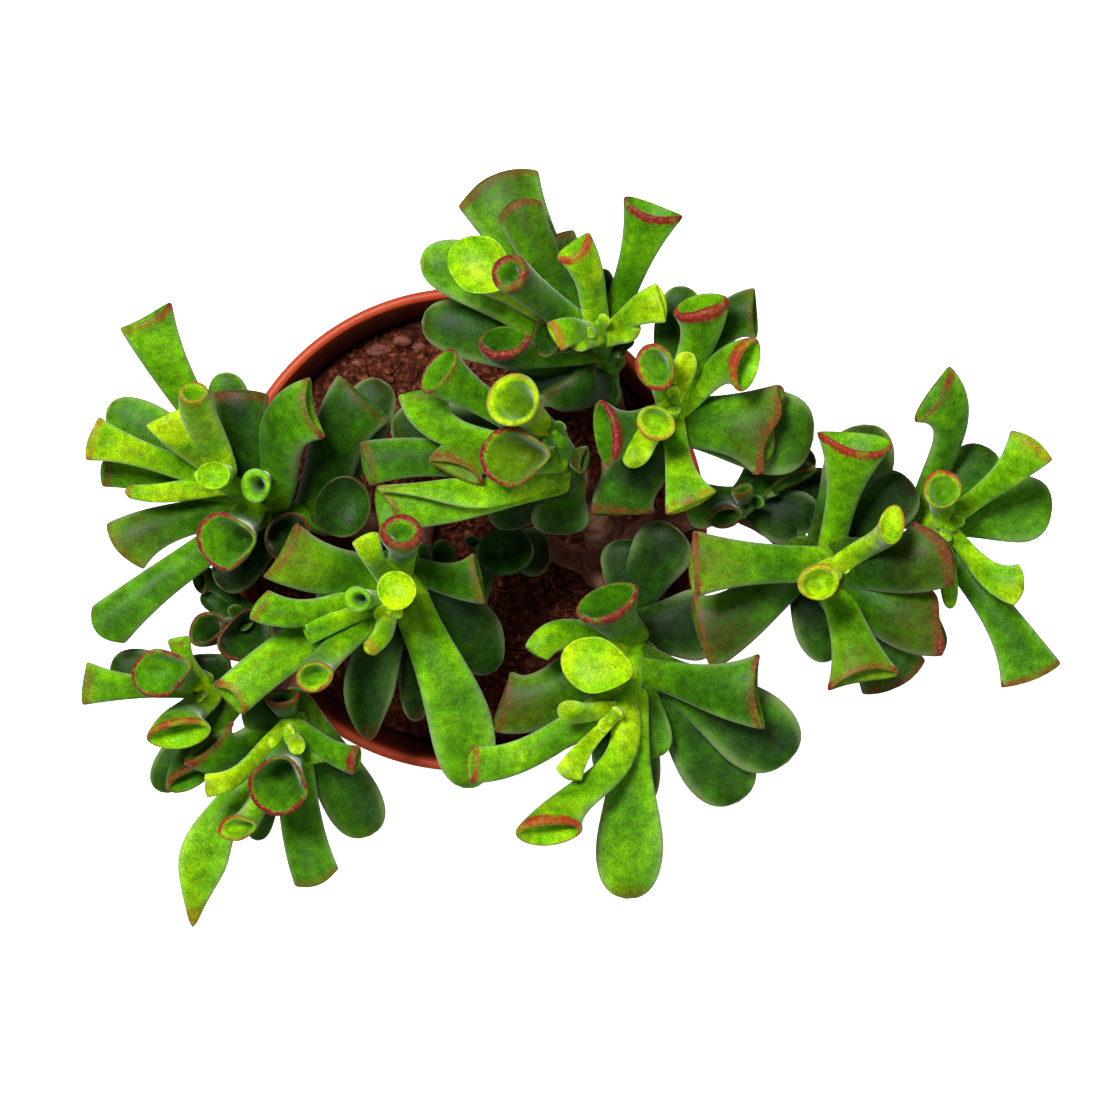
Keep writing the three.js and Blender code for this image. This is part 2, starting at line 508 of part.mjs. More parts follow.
// A cup leaf: a round stalk that flares to a mouth with a thick lip and a basin in it.
// It swells a little, so that its flat sides hold about as much as a round leaf.
function cupSolid(stemCurve, row) {
  const [, , , , wide, deep, , face, stalk] = row;
  const bends = face > upwardFace ? [[1, 0.46], [1, 0.76]] : [[1, 0.62]];
  const outline = [[0, 0], [1, 0.16], ...bends, [1, 1], [0.56, 0.92], [0, 0.86]];
  const lathe = new THREE.LatheGeometry(
    outline.map(([radius, along]) => new THREE.Vector2(radius, along)),
    wide < slimLeafWidth ? slimLeafSides : wideLeafSides,
  );
  const form = formOf(row);
  const turn = degrees(form.notchTurn);
  const notch = form.notch * wide * Math.cos(degrees(face));
  return solidOf(
    bendLeaf(lathe, leafPath(stemCurve, row), (along, across, thick) => {
      const flare = Math.pow(along, form.flare);
      const upper = Math.max(thick * Math.cos(turn) - across * Math.sin(turn), 0);
      const corner = form.skew * across + form.bulge * (1 - across * across);
      const narrowing = 1 - form.spoon * Math.max(thick, 0) * flare;
      return {
        width: (THREE.MathUtils.lerp(stalk, wide, flare) / 2) * narrowing * sideSwell,
        height: (THREE.MathUtils.lerp(stalk * stalkFlatness, deep, flare) / 2) * sideSwell,
        ahead: flare * (lipReach + corner * wide - notch * upper * upper),
      };
    }),
  );
}

// A blade leaf: a stalk that widens to a thick, flat blade with a round end.
function bladeSolid(stemCurve, row) {
  const [, , , , wide, thickness, , , stalk] = row;
  const outline = [[0, 0], [1, 0.2], [1, 0.72], [0.74, 0.94], [0, 1]];
  const lathe = new THREE.LatheGeometry(
    outline.map(([radius, along]) => new THREE.Vector2(radius, along)),
    bladeSides,
  );
  const form = formOf(row);
  return solidOf(
    bendLeaf(lathe, leafPath(stemCurve, row), (along) => {
      const spread = THREE.MathUtils.smoothstep(along, form.waist, bladeShoulder);
      const narrowing = 1 - form.point * THREE.MathUtils.smoothstep(along, form.pointFrom, 1);
      return {
        width: (THREE.MathUtils.lerp(stalk, wide, spread) / 2) * narrowing,
        height: THREE.MathUtils.lerp(stalk * stalkFlatness, thickness, spread) / 2,
        ahead: 0,
      };
    }),
  );
}

// Where a green shoot meets the wood below it, both run upright, so that their ends lie flat.
function uprightFoot([foot, ...rest]) {
  return [foot, [foot[0], foot[1], foot[2] + uprightLead], ...rest];
}

function uprightEnd(points, [x, y, z]) {
  return [...points, [x, y, z - gap - uprightLead], [x, y, z - gap]];
}

function shootSolid({ stem, radii, cups, blades }) {
  const points = uprightFoot(stem);
  const stemCurve = new THREE.CatmullRomCurve3(points.map(vector));
  const cupSolids = cups.map((row) => cupSolid(stemCurve, row));
  const bladeSolids = blades.map((row) => bladeSolid(stemCurve, row));
  return wholeBody(
    [...cupSolids, ...bladeSolids].reduce(
      (joined, leaf) => joined.add(leaf),
      stemSolid({ points, radii }),
    ),
  );
}

// The one body of a solid, with any hollow that its joined leaves sealed filled in.
function wholeBody(solid) {
  return solid.decompose().reduce((best, body) => (body.volume() > best.volume() ? body : best));
}

function woodSolid(branches) {
  return branches
    .map(({ points, radii, carries }) =>
      stemSolid({ points: carries ? uprightEnd(points, shoots[carries].stem[0]) : points, radii }),
    )
    .reduce((joined, branch) => joined.add(branch));
}

const floorTop = footHeight + floorThickness;

// The outer radius of the pot's wall at a height, below its collar.
function wallRadius(height) {
  return THREE.MathUtils.lerp(baseRadius, rimRadius - collarStep, height / potHeight);
}

function wallInside(height) {
  return wallRadius(height) - wallThickness;
}

// An upright drill, for round holes, that starts at the given height.
function drillAt(x, y, start, radius, sides) {
  const drill = new THREE.CylinderGeometry(radius, radius, drillLength, sides);
  drill.rotateX(Math.PI / 2);
  drill.translate(x, y, start + drillLength / 2);
  return solidOf(drill);
}

function potSolid() {
  const collarBottom = potHeight - collarHeight;
  const lipInside = rimRadius - lipThickness;
  const profile = [
    [0, 0],
    [centreDiscRadius, 0],
    [centreDiscRadius + discBevel, footHeight],
    [baseRadius - footWidth, footHeight],
    [baseRadius - footWidth + edgeBevel, 0],
    [baseRadius - edgeBevel, 0],
    [baseRadius, edgeBevel],
    [wallRadius(collarBottom), collarBottom],
    [rimRadius - lipBevel, collarBottom + lipBevel],
    [rimRadius, potHeight - lipBevel],
    [rimRadius - lipBevel, potHeight],
    [lipInside + lipBevel, potHeight],
    [lipInside, potHeight - lipBevel],
    [wallInside(collarBottom), collarBottom - lipThickness],
    [wallInside(floorTop) - edgeBevel, floorTop + edgeBevel],
    [wallInside(floorTop) - floorThickness, floorTop],
    [0, floorTop],
  ];
  const lathe = new THREE.LatheGeometry(
    profile.map(([radius, height]) => new THREE.Vector2(radius, height)),
    potSides,
  );
  lathe.rotateX(Math.PI / 2);
  let pot = solidOf(lathe);
  for (let i = 0; i < drainHoleCount; i++) {
    const angle = ((i + 0.5) / drainHoleCount) * 2 * Math.PI;
    const [x, y] = [drainRingRadius * Math.cos(angle), drainRingRadius * Math.sin(angle)];
    pot = pot.subtract(drillAt(x, y, -drillLength / 2, drainHoleRadius, drainHoleSides));
  }
  return pot;
}

// Low lumps on the soil, from three crossing waves.
function soilLump(x, y) {
  const waves = Math.sin(x * 0.31 + 1.3) * Math.cos(y * 0.27) + Math.sin((x + y) * 0.19);
  return waves * soilRelief;
}

function soilSolid(stemHoles) {
  const edge = (height) => wallInside(height) - gap - soilSlack;
  const rings = [0.85, 0.6, 0.3, 0];
  const profile = [
    [0, floorTop + gap],
    [edge(floorTop) - 2 * floorThickness, floorTop + gap],
    [edge(floorTop + 3) - edgeBevel, floorTop + 3],
    [edge(soilTop), soilTop - 1],
    ...rings.map((share) => [edge(soilTop) * share, soilTop + soilCrown * (1 - share * share)]),
  ];
  const lathe = new THREE.LatheGeometry(
    profile.map(([radius, height]) => new THREE.Vector2(radius, height)),
    soilSides,
  );
  lathe.rotateX(Math.PI / 2);
  const position = lathe.getAttribute("position");
  for (let i = 0; i < position.count; i++) {
    const [x, y, z] = [position.getX(i), position.getY(i), position.getZ(i)];
    if (z > soilTop - 0.5) position.setZ(i, z + soilLump(x, y));
  }
  let soil = solidOf(lathe);
  for (const { x, y, radius } of stemHoles) {
    soil = soil.subtract(drillAt(x, y, soilTop - stemHoleDepth, radius, stemHoleSides));
  }
  return soil;
}

const finishes = {
  plastic: { color: 0xb5482f, roughness: 0.45 },
  soil: { color: 0x4a2a20, roughness: 0.95 },
  wood: { color: 0x8a6a5c, roughness: 0.85 },
  leaf: { color: 0x3f8a16, roughness: 0.35 },
};

const plant = new THREE.Group();

function addPiece(name, solid, finish) {
  const material = new THREE.MeshStandardMaterial({ ...finishes[finish], metalness: 0 });
  const mesh = new THREE.Mesh(geometryOf(solid), material);
  mesh.name = name;
  plant.add(mesh);
}

// A hole in the soil that clears the foot of a woody stem, which leans a little in it.
function holeFor([trunk]) {
  const [x, y] = trunk.points[0];
  return { x, y, radius: trunk.radii[0] + stemHoleSlack };
}

addPiece("pot", potSolid(), "plastic");
addPiece("soil", soilSolid([holeFor(mainWood), holeFor(secondWood)]), "soil");
addPiece("wood_main", woodSolid(mainWood), "wood");
addPiece("wood_second", woodSolid(secondWood), "wood");
for (const [name, shoot] of Object.entries(shoots)) {
  addPiece(name, shootSolid(shoot), "leaf");
}

export default plant;
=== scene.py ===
# A potted hobbit jade, seen from straight above.
# The tables are in millimetres, with the origin in the middle of the pot's base, +Z up.
import bpy
import bmesh
import math
import random
from mathutils import Matrix, Vector, noise


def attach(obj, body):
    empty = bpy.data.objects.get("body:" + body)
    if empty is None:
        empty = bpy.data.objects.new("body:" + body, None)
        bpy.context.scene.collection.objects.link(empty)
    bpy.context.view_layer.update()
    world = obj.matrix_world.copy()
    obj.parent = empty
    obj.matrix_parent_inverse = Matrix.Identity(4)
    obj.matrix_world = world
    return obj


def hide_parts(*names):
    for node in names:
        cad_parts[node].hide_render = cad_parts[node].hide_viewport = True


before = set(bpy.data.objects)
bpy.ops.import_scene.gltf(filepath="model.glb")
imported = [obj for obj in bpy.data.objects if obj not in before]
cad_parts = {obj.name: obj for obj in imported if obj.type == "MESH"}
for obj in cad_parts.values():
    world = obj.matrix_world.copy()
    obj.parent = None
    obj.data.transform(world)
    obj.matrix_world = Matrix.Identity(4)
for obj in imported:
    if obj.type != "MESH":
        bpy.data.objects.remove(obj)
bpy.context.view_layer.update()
mm = 0.001
up = Vector((0, 0, 1))
fullTurn = 2 * math.pi
print("frame loaded:", len(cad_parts), "nodes")

# Object and material helpers


def newObject(name, data):
    made = bpy.data.objects.new(name, data)
    bpy.context.scene.collection.objects.link(made)
    return made


def meshFrom(name, bm):
    mesh = bpy.data.meshes.new(name)
    bm.to_mesh(mesh)
    bm.free()
    return mesh


def newMaterial(name):
    material = bpy.data.materials.new(name)
    material.use_nodes = True
    return material, material.node_tree, material.node_tree.nodes["Principled BSDF"]


def wire(tree, value, socket):
    if isinstance(value, bpy.types.NodeSocket):
        tree.links.new(value, socket)
    else:
        socket.default_value = value


def setSurface(tree, shader, color, roughness, specular):
    wire(tree, color, shader.inputs["Base Color"])
    wire(tree, roughness, shader.inputs["Roughness"])
    shader.inputs["Specular IOR Level"].default_value = specular


def addNode(tree, kind, inputs=None, **settings):
    node = tree.nodes.new(kind)
    for key, value in settings.items():
        setattr(node, key, value)
    for key, value in (inputs or {}).items():
        wire(tree, value, node.inputs[key])
    return node


def mathNode(tree, operation, a, b=0.0, clamp=False):
    node = addNode(tree, "ShaderNodeMath", {0: a, 1: b}, operation=operation, use_clamp=clamp)
    return node.outputs[0]


def mixColor(tree, factor, a, b, blend="MIX"):
    inputs = {0: factor, 6: a, 7: b}
    node = addNode(tree, "ShaderNodeMix", inputs, data_type="RGBA", blend_type=blend, clamp_factor=True)
    return node.outputs[2]


def rampColor(tree, factor, stops):
    node = addNode(tree, "ShaderNodeValToRGB", {"Fac": factor})
    elements = node.color_ramp.elements
    while len(elements) < len(stops):
        elements.new(0.5)
    for element, (position, color) in zip(elements, stops):
        element.position = position
        element.color = (*color, 1)
    return node.outputs["Color"]


def rangeOf(tree, value, low, high, to=(0, 1)):
    inputs = {"Value": value, "From Min": low, "From Max": high, "To Min": to[0], "To Max": to[1]}
    node = addNode(tree, "ShaderNodeMapRange", inputs, clamp=True)
    return node.outputs["Result"]


def shade(tree, color, value, low, high, to):
    return mixColor(tree, 1.0, color, rangeOf(tree, value, low, high, to), "MULTIPLY")


def noiseOn(tree, coords, scale, detail=2.0, rough=0.5):
    inputs = {"Vector": coords, "Scale": scale, "Detail": detail, "Roughness": rough}
    return addNode(tree, "ShaderNodeTexNoise", inputs).outputs["Fac"]


def objectCoords(tree):
    return addNode(tree, "ShaderNodeTexCoord").outputs["Object"]


def partsOf(tree, vector):
    return addNode(tree, "ShaderNodeSeparateXYZ", {0: vector}).outputs


def bumpOn(tree, shader, heights):
    normal = None
    for height, distance, strength in heights:
        inputs = {"Height": height, "Distance": distance, "Strength": strength}
        node = addNode(tree, "ShaderNodeBump", inputs)
        if normal:
            tree.links.new(normal, node.inputs["Normal"])
        normal = node.outputs["Normal"]
    tree.links.new(normal, shader.inputs["Normal"])


# Camera, floor and light

studio = {
    "eye": (21, -5.1, 1300),   # straight above, where the rim of the pot looks as it does
    "lens": 157.7,
    "floorSize": 3000,
    "floorColor": (0.93, 0.93, 0.93, 1),
    "floorGlow": 0.92,         # the ground is blown out to white
    "white": (1, 1, 1, 1),
    "worldStrength": 0.2,
    "target": (20, -5, 150),
    "lights": [                # name, place, size and power
        ("key", (-330, 430, 1500), 380, 30),
        ("fill", (700, -500, 1300), 900, 6),
    ],
}


def addCamera():
    data = bpy.data.cameras.new("camera")
    data.lens = studio["lens"]
    data.sensor_width = 36
    data.clip_start = 0.05
    camera = newObject("camera", data)
    camera.location = Vector(studio["eye"]) * mm
    bpy.context.scene.camera = camera


def addAreaLight(name, place, size, power):
    data = bpy.data.lights.new(name, "AREA")
    data.shape = "DISK"
    data.size = size * mm
    data.energy = power
    light = newObject(name, data)
    light.location = Vector(place) * mm
    target = Vector(studio["target"]) * mm
    light.rotation_euler = (target - light.location).to_track_quat("-Z", "Y").to_euler()


def addWorld():
    world = bpy.data.worlds.new("studio")
    world.use_nodes = True
    background = world.node_tree.nodes["Background"]
    background.inputs["Color"].default_value = studio["white"]
    background.inputs["Strength"].default_value = studio["worldStrength"]
    bpy.context.scene.world = world


def addFloor():
    bm = bmesh.new()
    bmesh.ops.create_grid(bm, x_segments=1, y_segments=1, size=studio["floorSize"] * mm / 2)
    mesh = meshFrom("floor", bm)
    floor = newObject("floor", mesh)
    material, tree, shader = newMaterial("paleFloor")
    setSurface(tree, shader, studio["floorColor"], 0.9, 0)
    shader.inputs["Emission Color"].default_value = studio["white"]
    shader.inputs["Emission Strength"].default_value = studio["floorGlow"]
    mesh.materials.append(material)
    floor.visible_diffuse = False   # the bright ground doesn't light the plant from below
    floor.visible_glossy = False


addCamera()
addFloor()
addWorld()
for lightSettings in studio["lights"]:
    addAreaLight(*lightSettings)
bpy.context.scene.view_settings.view_transform = "Standard"
print("studio done")

# Leaf and stem shapes

planView = {"level": 170, "centre": Vector((21, -5.1, 0)), "height": 1300}
leafPathShape = {"rise": 0.35, "bend": 0.35, "veer": 0, "lead": 0, "roll": 0}

cupShape = {
    "sides": 22,
    "outside": [0, 0.08, 0.2, 0.33, 0.46, 0.58, 0.68, 0.77, 0.85, 0.91, 0.96, 1],
    "lipSteps": 4,
    "basinSteps": 6,
    "flare": 3.2,      # a higher power leaves the tube slim for longer
    "keel": 0.03,
    "notch": 0.06,     # how far the upper lip stands back, in mouth widths
    "notchTurn": 0,    # degrees by which that side is turned round the leaf
    "bulge": 0.02,     # how far the middle of the mouth stands out past its corners
    "skew": 0,         # how far one corner stands ahead of the other
    "lip": 0.62,
    "lipSwell": 0.35,  # the far side of the lip is thicker and redder, or the near side below 0
    "lipShare": 6.5,   # the lip is never thicker than this share of the mouth
    "basin": 0.55,
    "basinPower": 2.6,
    "red": 1,
    "youngRed": 0.45,  # how red the youngest lips are
    "redBand": 1.8,    # millimetres of red outside the lip
    "redReach": 0.55,  # how far the red goes over the lip, from its reddest line
    "redLine": 1.3,
    "blush": 0,        # brownish red over the outer part of the leaf
    # level of the painted side light inside the basin
    "innerSideLight": 0.45,
    "wave": 0.03,
    "ruffle": 0,
    "upwardFace": 45,
    "spoon": 0.5,      # how narrow a spoon is towards the stem
}

bladeShape = {
    "sides": 18,
    "rings": [(1, 0), (1, 0.1), (1, 0.22), (1, 0.35), (1, 0.48), (1, 0.6), (1, 0.7), (0.97, 0.79),
              (0.88, 0.87), (0.72, 0.935), (0.45, 0.98)],
    "keel": 0.09,
    "red": 0.12,
    "tipRed": 0.6,
    "wave": 0.03,
    "waist": 0.05,     # where along the leaf the stalk ends
    "point": 0,
    "pointFrom": 0.7,
    "sway": 0,
}

stemShape = {
    "sides": 14,
    "steps": 22,
    "samples": 60,
    "upright": 4,      # a stem first stands straight up from its wood
    "nodeGap": 6.5,
    "nodeSwell": 0.07,
    "flat": 0.8,
    "taper": 0.6,
    "tip": 30,
    "tipAge": 0.5,
}

bud = {
    "reach": 3.4,
    "down": 4,
    "rise": 1.6,
    "mouth": (3.2, 1.7),
    "face": 30,
    "stalk": 2.2,
    "shade": 0.5,
}


# A closed shell spun round an axis from points (radius, along) that start and end on it.
def spunShell(points, axis, sides):
    bm = bmesh.new()
    verts = [bm.verts.new(Vector((radius, 0, 0)) + axis * along) for radius, along in points]
    edges = [bm.edges.new(pair) for pair in zip(verts, verts[1:])]
    bmesh.ops.spin(bm, geom=verts + edges, cent=(0, 0, 0), axis=axis, angle=fullTurn,
                   steps=sides, use_merge=True)
    bmesh.ops.remove_doubles(bm, verts=bm.verts, dist=1e-4)
    bmesh.ops.recalc_face_normals(bm, faces=bm.faces)
    return bm


def spunTemplate(name, points, sides):
    return meshFrom(name, spunShell(points, Vector((0, 1, 0)), sides))


def cupTemplate():
    points = [(0, 0)] + [(1, along) for along in cupShape["outside"]]
    lipSteps = cupShape["lipSteps"]
    points += [(1, 1 + (i + 1) / lipSteps) for i in range(lipSteps)]
    basinSteps = cupShape["basinSteps"]
    points += [(1 - (i + 1) / basinSteps, 2 + (i + 1) / basinSteps) for i in range(basinSteps)]
    return spunTemplate("cupTemplate", points, cupShape["sides"])


def bladeTemplate():
    return spunTemplate("bladeTemplate", [(0, 0)] + bladeShape["rings"] + [(0, 1)], bladeShape["sides"])


# Rings along a stem or a branch
def tubeRings(steps):
    return [(0, 0)] + [(1, i / steps) for i in range(steps + 1)]


def stemTemplate():
    rings = tubeRings(stemShape["steps"])
    return spunTemplate("stemTemplate", rings + [(0.6, 1.02), (0, 1.03)], stemShape["sides"])


def lerp(a, b, share):
    return a + (b - a) * share


def smooth(low, high, value):
    share = min(max((value - low) / (high - low), 0), 1)
    return share * share * (3 - 2 * share)


# Lower tips are further from the eye, so they stand a little further out than the plan shows.
def fromPlan(x, y, z):
    spread = (planView["height"] - z) / (planView["height"] - planView["level"])
    place = (Vector((x, y, 0)) - planView["centre"]) * spread + planView["centre"]
    return Vector((place.x, place.y, z))


def splinePoint(points, share):
    places = [Vector(point) for point in points]
    places = [2 * places[0] - places[1]] + places + [2 * places[-1] - places[-2]]
    spans = len(points) - 1
    step = min(share * spans, spans - 1e-6)
    first = int(step)
    t = step - first
    a, b, c, d = places[first:first + 4]
    return 0.5 * (2 * b + (c - a) * t + (2 * a - 5 * b + 4 * c - d) * t ** 2
                  + (3 * b - a - 3 * c + d) * t ** 3)


def pointAtHeight(points, height):
    samples = stemShape["samples"]
    places = [splinePoint(points, i / samples) for i in range(samples + 1)]
    return min(places, key=lambda place: abs(place.z - height))


def lengthOf(points):
    return sum((Vector(b) - Vector(a)).length for a, b in zip(points, points[1:]))


# Centre, direction, two sides and radius of a round stem, part of the way along it.
def tubeAt(points, radii, share):
    ahead = splinePoint(points, min(share + 0.02, 1)) - splinePoint(points, max(share - 0.02, 0))
    forward = ahead.normalized()
    sideways = Vector((forward.y, -forward.x, 0))
    sideways = sideways.normalized() if sideways.length > 0.02 else Vector((1, 0, 0))
    lift = sideways.cross(forward).normalized()
    step = min(share * (len(radii) - 1), len(radii) - 1.0001)
    radius = lerp(radii[int(step)], radii[int(step) + 1], step - int(step))
    return splinePoint(points, share), forward, sideways, lift, radius


# The centreline of a leaf, with the directions of its mouth.
class LeafPath:
    def __init__(self, stemPoints, row):
        root = pointAtHeight(stemPoints, row["root"])
        tip = fromPlan(*row["tip"])
        self.reach = (tip - root).length
        outward = (tip - root) * Vector((1, 1, 0))
        outward.normalize()
        turn = math.radians(row["across"])
        look = math.radians(row["face"])
        level = Vector((-math.sin(turn), math.cos(turn), 0))
        if level.dot(outward) < 0:
            level.negate()
        facing = level * math.cos(look) + up * math.sin(look)
        self.side = facing.cross(up * math.cos(look) - level * math.sin(look))
        form = {**leafPathShape, **row["own"]}
        lead = Matrix.Rotation(math.radians(form["lead"]), 3, "Z")
        start = lead @ (outward + up * form["rise"]).normalized()
        arrival = Matrix.Rotation(math.radians(form["veer"]), 3, "Z") @ facing
        bend = self.reach * form["bend"]
        self.roll = math.radians(form["roll"])
        self.points = [root, root + start * bend, tip - arrival * bend, tip]
        self.startSide = outward.cross(up)
        if self.startSide.dot(self.side) < 0:
            self.startSide.negate()

    def frameAt(self, t):
        a, b, c, d = self.points
        s = 1 - t
        centre = a * s ** 3 + b * 3 * s * s * t + c * 3 * s * t * t + d * t ** 3
        forward = ((b - a) * s * s + (c - b) * 2 * s * t + (d - c) * t * t).normalized()
        turned = self.startSide.lerp(self.side, t)
        turned = (turned - forward * turned.dot(forward)).normalized()
        turned = Matrix.Rotation(self.roll * t, 3, forward) @ turned
        return centre, forward, turned, turned.cross(forward)


# Adds a copy of a template to a shoot and returns the new vertices.
def appendTemplate(bm, template):
    start = len(bm.verts)
    bm.from_mesh(template)
    bm.verts.ensure_lookup_table()
    return [bm.verts[i] for i in range(start, len(bm.verts))]


# One leaf of the table: the height of its root, its tip in the plan, width and depth of its mouth,
# the direction of the mouth's long side, the angle at which the mouth looks up, the width of the
# stalk, the age from 0 for young to 1 for old, how red it is, and what else sets it apart.
def leaf(root, x, y, z, wide, deep, across, face, stalk, age, red=None, **own):
    if red is not None:
        own["red"] = red
    return {"root": root, "tip": (x, y, z), "wide": wide, "deep": deep, "across": across,
            "face": face, "stalk": stalk, "age": age, "own": own}


# the last layer holds the blush and the mark of the painted light across the leaf's sides
def layersOf(bm):
    # the first layer holds age and lip, and also the mark of the painted shade in the basins
    return [bm.verts.layers.float_vector.new(name) for name in ("leafTintAndShade", "leafMark", "leafToneAndLight")]


def paint(vert, layers, *values):
    for layer, value in zip(layers, values):
        vert[layer] = Vector(value)


def addCup(bm, layers, template, stemPoints, row, rng):
    wide, deep, stalk, age = row["wide"], row["deep"], row["stalk"], row["age"]
    form = {**cupShape, **row["own"]}
    path = LeafPath(stemPoints, row)
    lip = min(form["lip"], deep / form["lipShare"])
    # a mouth that looks up is a spoon: narrow towards the stem, round at the far end
    spoon = form["spoon"] if row["face"] > cupShape["upwardFace"] and deep > wide else 0
    notch = form["notch"] * wide * math.cos(math.radians(row["face"]))
    basin = form["basin"] * min(wide, deep) + notch / 2
    redness = form["red"] * lerp(form["youngRed"], 1, smooth(0.05, 0.4, age))
    phase = rng.uniform(0, 6.3)
    shift = rng.uniform(0, 6.3)
    for vert in appendTemplate(bm, template):
        u, along, v = vert.co
        share = math.hypot(u, v)
        angle = math.atan2(v, u)
        t = min(along, 1)
        flare = t ** form["flare"]
        centre, forward, turned, lift = path.frameAt(t)
        halfWide = lerp(stalk, wide, flare) / 2
        halfDeep = lerp(stalk * stemShape["flat"], deep, flare) / 2
        roll = lip * (1 - form["lipSwell"] * math.sin(angle))
        ahead = 0
        if along > 2:
            inner = 3 - along
            halfWide -= 2 * roll
            halfDeep -= 2 * roll
            ahead = -basin * (1 - inner ** (form["basinPower"] - form["basin"]))
        elif along > 1:
            arc = (along - 1) * math.pi
            halfWide -= roll * (1 - math.cos(arc))
            halfDeep -= roll * (1 - math.cos(arc))
            ahead = math.sin(arc) * roll
        wave = 1 + form["wave"] * flare * (math.sin(2 * angle + phase) + 0.6 * math.sin(3 * angle + shift))
        keel = 1 + form["keel"] * abs(math.cos(angle)) ** 8
        upper = max(math.sin(angle - math.radians(form["notchTurn"])), 0) ** 2
        bowl = flare * share * share
        ahead -= notch * upper * bowl
        ahead += form["bulge"] * wide * (flare - math.cos(angle) ** 2 * bowl)
        ahead += form["skew"] * wide * math.cos(angle) * flare * share
        ahead += form["wave"] * wide * 0.6 * bowl * math.sin(2 * angle + shift)
        ahead += form["ruffle"] * wide * bowl * math.sin(4 * angle + phase)
        narrowing = 1 - spoon * max(math.sin(angle), 0) * flare * share
        vert.co = (centre + turned * (u * halfWide * keel * wave * narrowing)
                   + lift * (v * halfDeep * wave) + forward * ahead)
        band = smooth(form["redBand"], 0.3, (1 - t) * path.reach)
        onLip = 1 - min(abs(along - form["redLine"]) / form["redReach"], 1) if along > 1 else band
        # mark of the painted shade in the basin of a cup, stronger for a deeper basin
        basinShadeMark = smooth(1.9, 2.9, along) * min(form["basin"] * 1.2, 1)
        around = redness * (0.85 - form["lipSwell"] * math.sin(angle))
        outside = smooth(1.6, 1, along)
        # mark of the painted highlight along the margins of the leaf's outer part
        edge = abs(math.cos(angle)) ** 14 * smooth(0.2, 0.6, t) * outside
        # painted light across the section: darker on the broad faces, lighter towards the sides, a middle
        # level inside the basin
        side = lerp(form["innerSideLight"], math.cos(angle) ** 2, outside)
        blush = form["blush"] * smooth(0.45, 1, t)
        paint(vert, layers, (age, onLip, basinShadeMark), (around, edge, t), (blush, side, 0))


def addBlade(bm, layers, template, stemPoints, row, rng):
    wide, stalk = row["wide"], row["stalk"]
    form = {**bladeShape, **row["own"]}
    path = LeafPath(stemPoints, row)
    phase = rng.uniform(0, 6.3)
    for vert in appendTemplate(bm, template):
        u, along, v = vert.co
        angle = math.atan2(v, u)
        t = min(max(along, 0), 1)
        spread = smooth(form["waist"], 0.8, t)
        centre, forward, turned, lift = path.frameAt(t)
        halfWide = lerp(stalk, wide, spread) / 2 * (1 - form["point"] * smooth(form["pointFrom"], 1, t))
        halfThick = lerp(stalk * stemShape["flat"], row["deep"], spread) / 2
        keel = 1 + form["keel"] * abs(math.cos(angle)) ** 6
        wave = 1 + form["wave"] * spread * math.sin(5 * t + phase)
        sag = math.sin(3 * t + phase) * form["wave"] * wide * spread * 0.5
        sideways = u * halfWide * keel * wave + form["sway"] * math.sin(4.5 * t)
        vert.co = centre + turned * sideways + lift * (v * halfThick + sag)
        # mark of the painted highlight along the margins of the blade
        edge = abs(math.cos(angle)) ** 10 * smooth(0.3, 0.7, t)
        atTip = smooth(0.86, 1.0, t) * form["tipRed"]
        # painted light across the blade: darker on the broad faces, lighter towards the sides
        paint(vert, layers, (row["age"], atTip, 0), (form["red"], edge, t), (0, math.cos(angle) ** 2, 0))


def addStem(bm, layers, template, points, radii, age, rng):
    length = lengthOf(points)
    phase = rng.uniform(0, 6.3)
    for vert in appendTemplate(bm, template):
        u, along, v = vert.co
        t = min(along, 1)
        centre, forward, sideways, lift, radius = tubeAt(points, radii, t)
        swell = max(math.sin(t * length / stemShape["nodeGap"] * fullTurn + phase), 0) ** 3
        radius *= 1 + stemShape["nodeSwell"] * swell
        radius *= 1 - stemShape["taper"] * smooth(0.85, 1, t)
        ahead = max(along - 1, 0) * stemShape["tip"]
        vert.co = centre + sideways * (u * radius) + lift * (v * radius) + forward * ahead
        ageHere = lerp(age, age * stemShape["tipAge"], smooth(0.5, 0.95, t))
        # stems carry a middle level of the painted side light
        paint(vert, layers, (ageHere, 0, 0), (0, 0, t), (0, 0.5, 0))


# Two small leaves that open at the tip of a shoot
def budRows(points, age, rng):
    tip = Vector(points[-1])
    turn = rng.uniform(0, 180)
    rows = []
    for side in (0, 180):
        heading = math.radians(turn + side)
        place = tip + Vector((math.cos(heading), math.sin(heading), 0)) * bud["reach"]
        rows.append(leaf(tip.z - bud["down"], place.x, place.y, tip.z + bud["rise"], *bud["mouth"],
                         turn + 90, bud["face"], bud["stalk"], age * lerp(bud["shade"], 1, age), 0))
    return rows


def newPiece(name, bm, material, node, levels=1):
    bmesh.ops.scale(bm, vec=(mm, mm, mm), verts=bm.verts)
    for face in bm.faces:
        face.smooth = True
    mesh = meshFrom(name, bm)
    mesh.materials.append(material)
    piece = newObject(name, mesh)
    if levels:
        finer = piece.modifiers.new("finer", "SUBSURF")
        finer.levels = levels
        finer.render_levels = levels
    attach(piece, "root")
    if node:
        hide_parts(node)
    return piece


